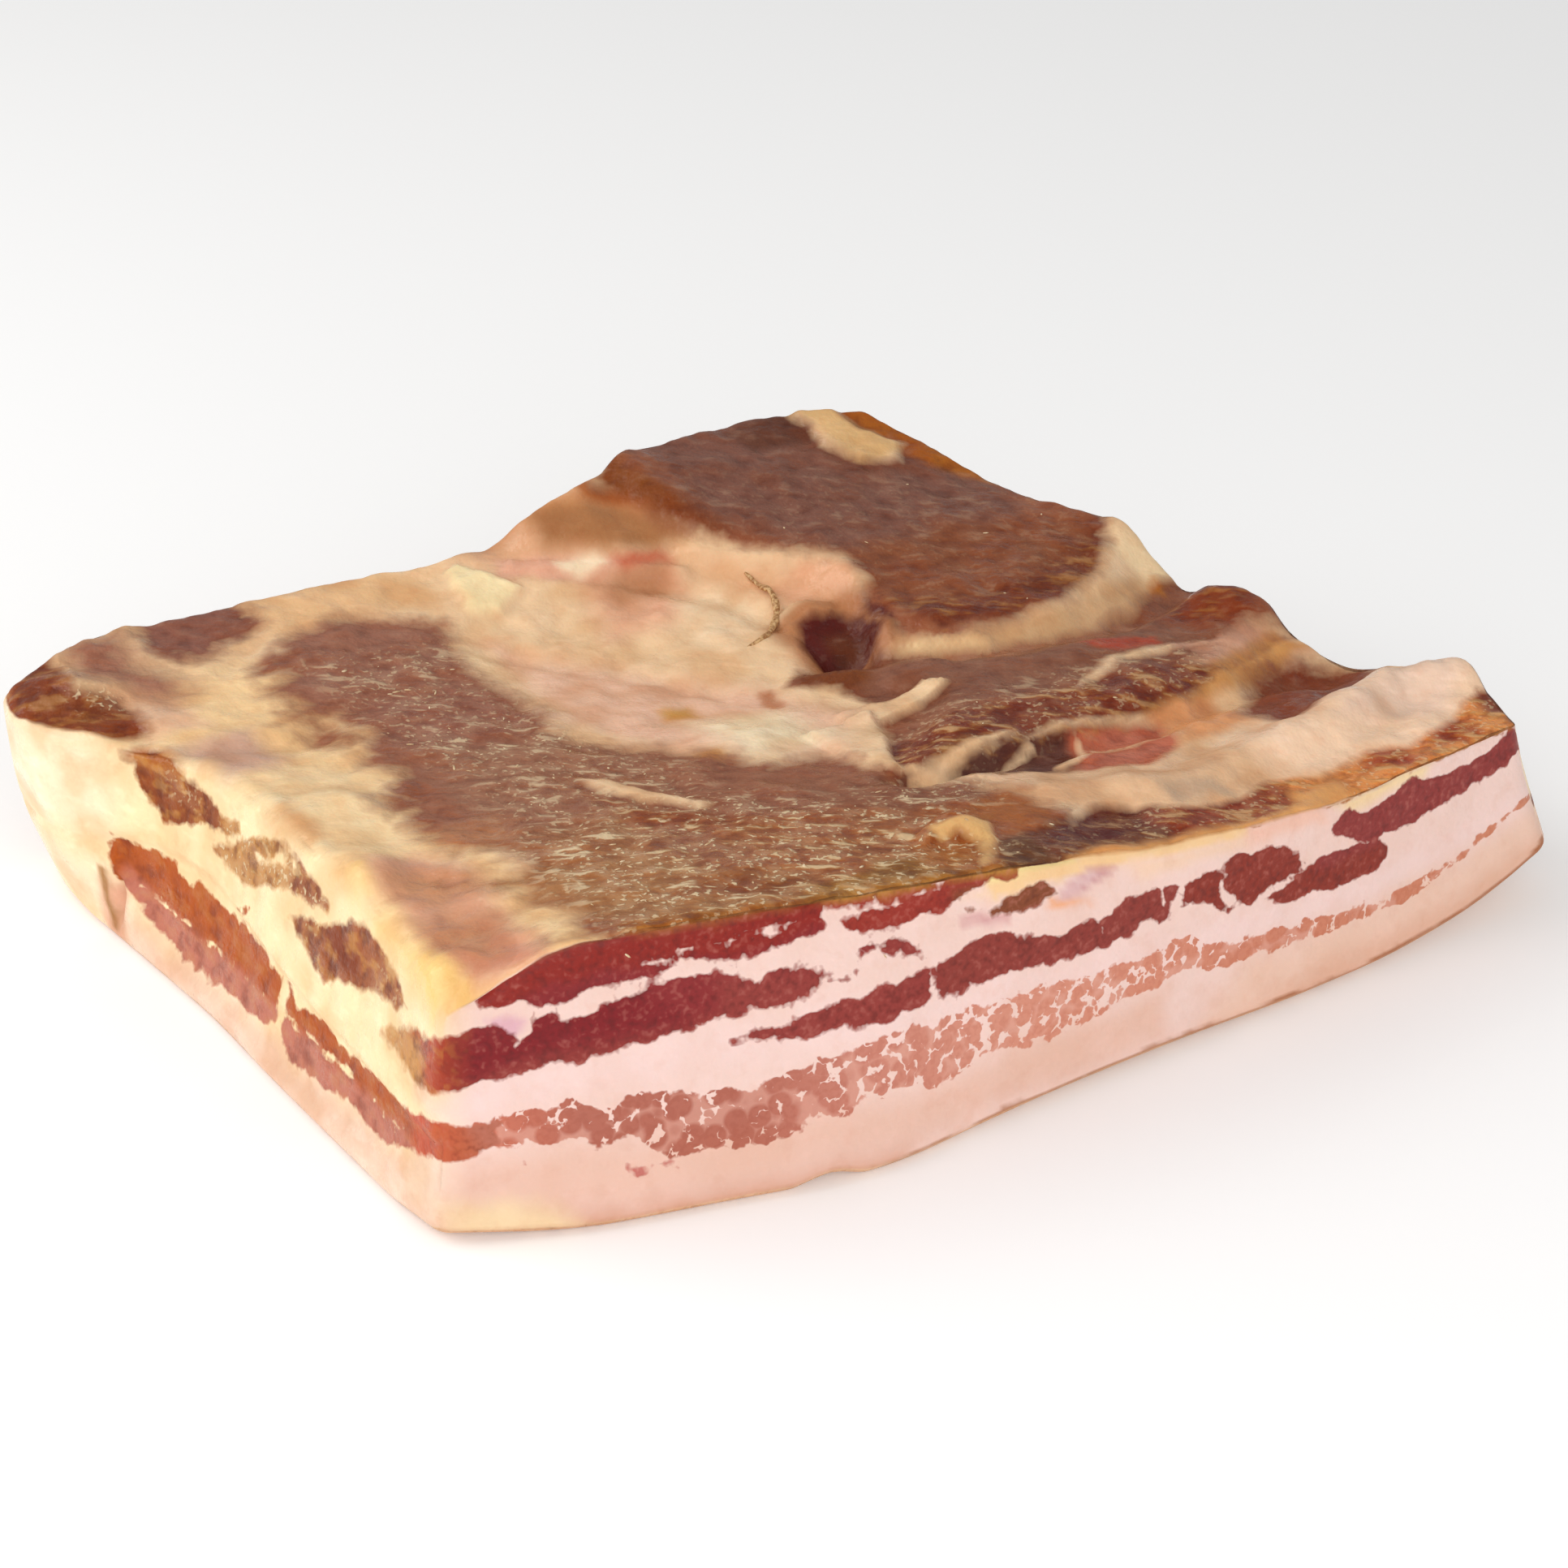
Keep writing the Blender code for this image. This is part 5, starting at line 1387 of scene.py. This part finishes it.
class PANCETTA_OT_stage(bpy.types.Operator):
    """Makes the floor, the lights and the camera"""

    bl_idname = "pancetta.stage"
    bl_label = "Stage"

    def execute(self, context):
        scene = context.scene
        look = scene.pancetta_stage_look
        bm = bmesh.new()
        bmesh.ops.create_grid(bm, x_segments=1, y_segments=1, size=6)
        paper = Finish("paper_floor")
        tone = paper.blend(paper.cloud(0.02, 3.0) * 0.02, (*look.floor_colour, 1), (0.8, 0.8, 0.8, 1))
        paper.set(Base_Color=tone, Roughness=0.9)
        paper.shader.inputs["Emission Color"].default_value = (1, 1, 1, 1)
        paper.shader.inputs["Emission Strength"].default_value = look.floor_glow
        floor = finished("floor", bm, paper.material)

        world = bpy.data.worlds.new("room")
        world.use_nodes = True
        world.node_tree.nodes["Background"].inputs["Color"].default_value = (1, 1, 1, 1)
        world.node_tree.nodes["Background"].inputs["Strength"].default_value = look.daylight
        scene.world = world
        soft_light("window", (-0.85, 0.4, 0.7), (0, 0, 0.03), (0.9, 0.9), look.window, (1, 0.98, 0.95))
        soft_light("fill", (-0.25, -1.0, 0.45), (0.03, 0, 0.03), (1.0, 0.8), look.fill, (1, 1, 1))

        camera = bpy.data.cameras.new("portrait")
        camera.lens = CAMERA_LENS
        camera.sensor_width = 36
        camera.clip_start = 0.01
        viewpoint = bpy.data.objects.new("portrait", camera)
        viewpoint.location = Vector(CAMERA_PLACE) + Vector(scene["slab_shift"])
        viewpoint.rotation_euler = (math.pi / 2 - CAMERA_ELEVATION, 0, CAMERA_AZIMUTH)
        scene.collection.objects.link(viewpoint)
        scene.camera = viewpoint
        scene.view_settings.view_transform = "Standard"
        return {"FINISHED"}


class PANCETTA_PT_sidebar(bpy.types.Panel):
    """Lists the pieces and what can be changed"""

    bl_label = "Pancetta"
    bl_idname = "PANCETTA_PT_sidebar"
    bl_space_type = "VIEW_3D"
    bl_region_type = "UI"
    bl_category = "Pancetta"

    def draw(self, context):
        layout = self.layout
        for group in (context.scene.pancetta_look, context.scene.pancetta_stage_look):
            for name in group.__annotations__:
                layout.prop(group, name)
        for operator in PIECE_OPERATORS:
            layout.operator(operator.bl_idname)


PIECE_OPERATORS = (PANCETTA_OT_slab, PANCETTA_OT_strand, PANCETTA_OT_salt, PANCETTA_OT_stage)
CLASSES = (PancettaLook, PancettaStageLook, *PIECE_OPERATORS, PANCETTA_PT_sidebar)


def register():
    for cls in CLASSES:
        bpy.utils.register_class(cls)
    bpy.types.Scene.pancetta_look = bpy.props.PointerProperty(type=PancettaLook)
    bpy.types.Scene.pancetta_stage_look = bpy.props.PointerProperty(type=PancettaStageLook)


def unregister():
    del bpy.types.Scene.pancetta_look
    del bpy.types.Scene.pancetta_stage_look
    for cls in reversed(CLASSES):
        bpy.utils.unregister_class(cls)


def main():
    """Registers the add-on, then makes the slab, its sinew strand, its salt and the stage."""
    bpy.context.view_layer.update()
    register()
    bpy.ops.pancetta.slab()
    bpy.ops.pancetta.strand()
    bpy.ops.pancetta.salt()
    bpy.ops.pancetta.stage()


if __name__ == "__main__":
    main()
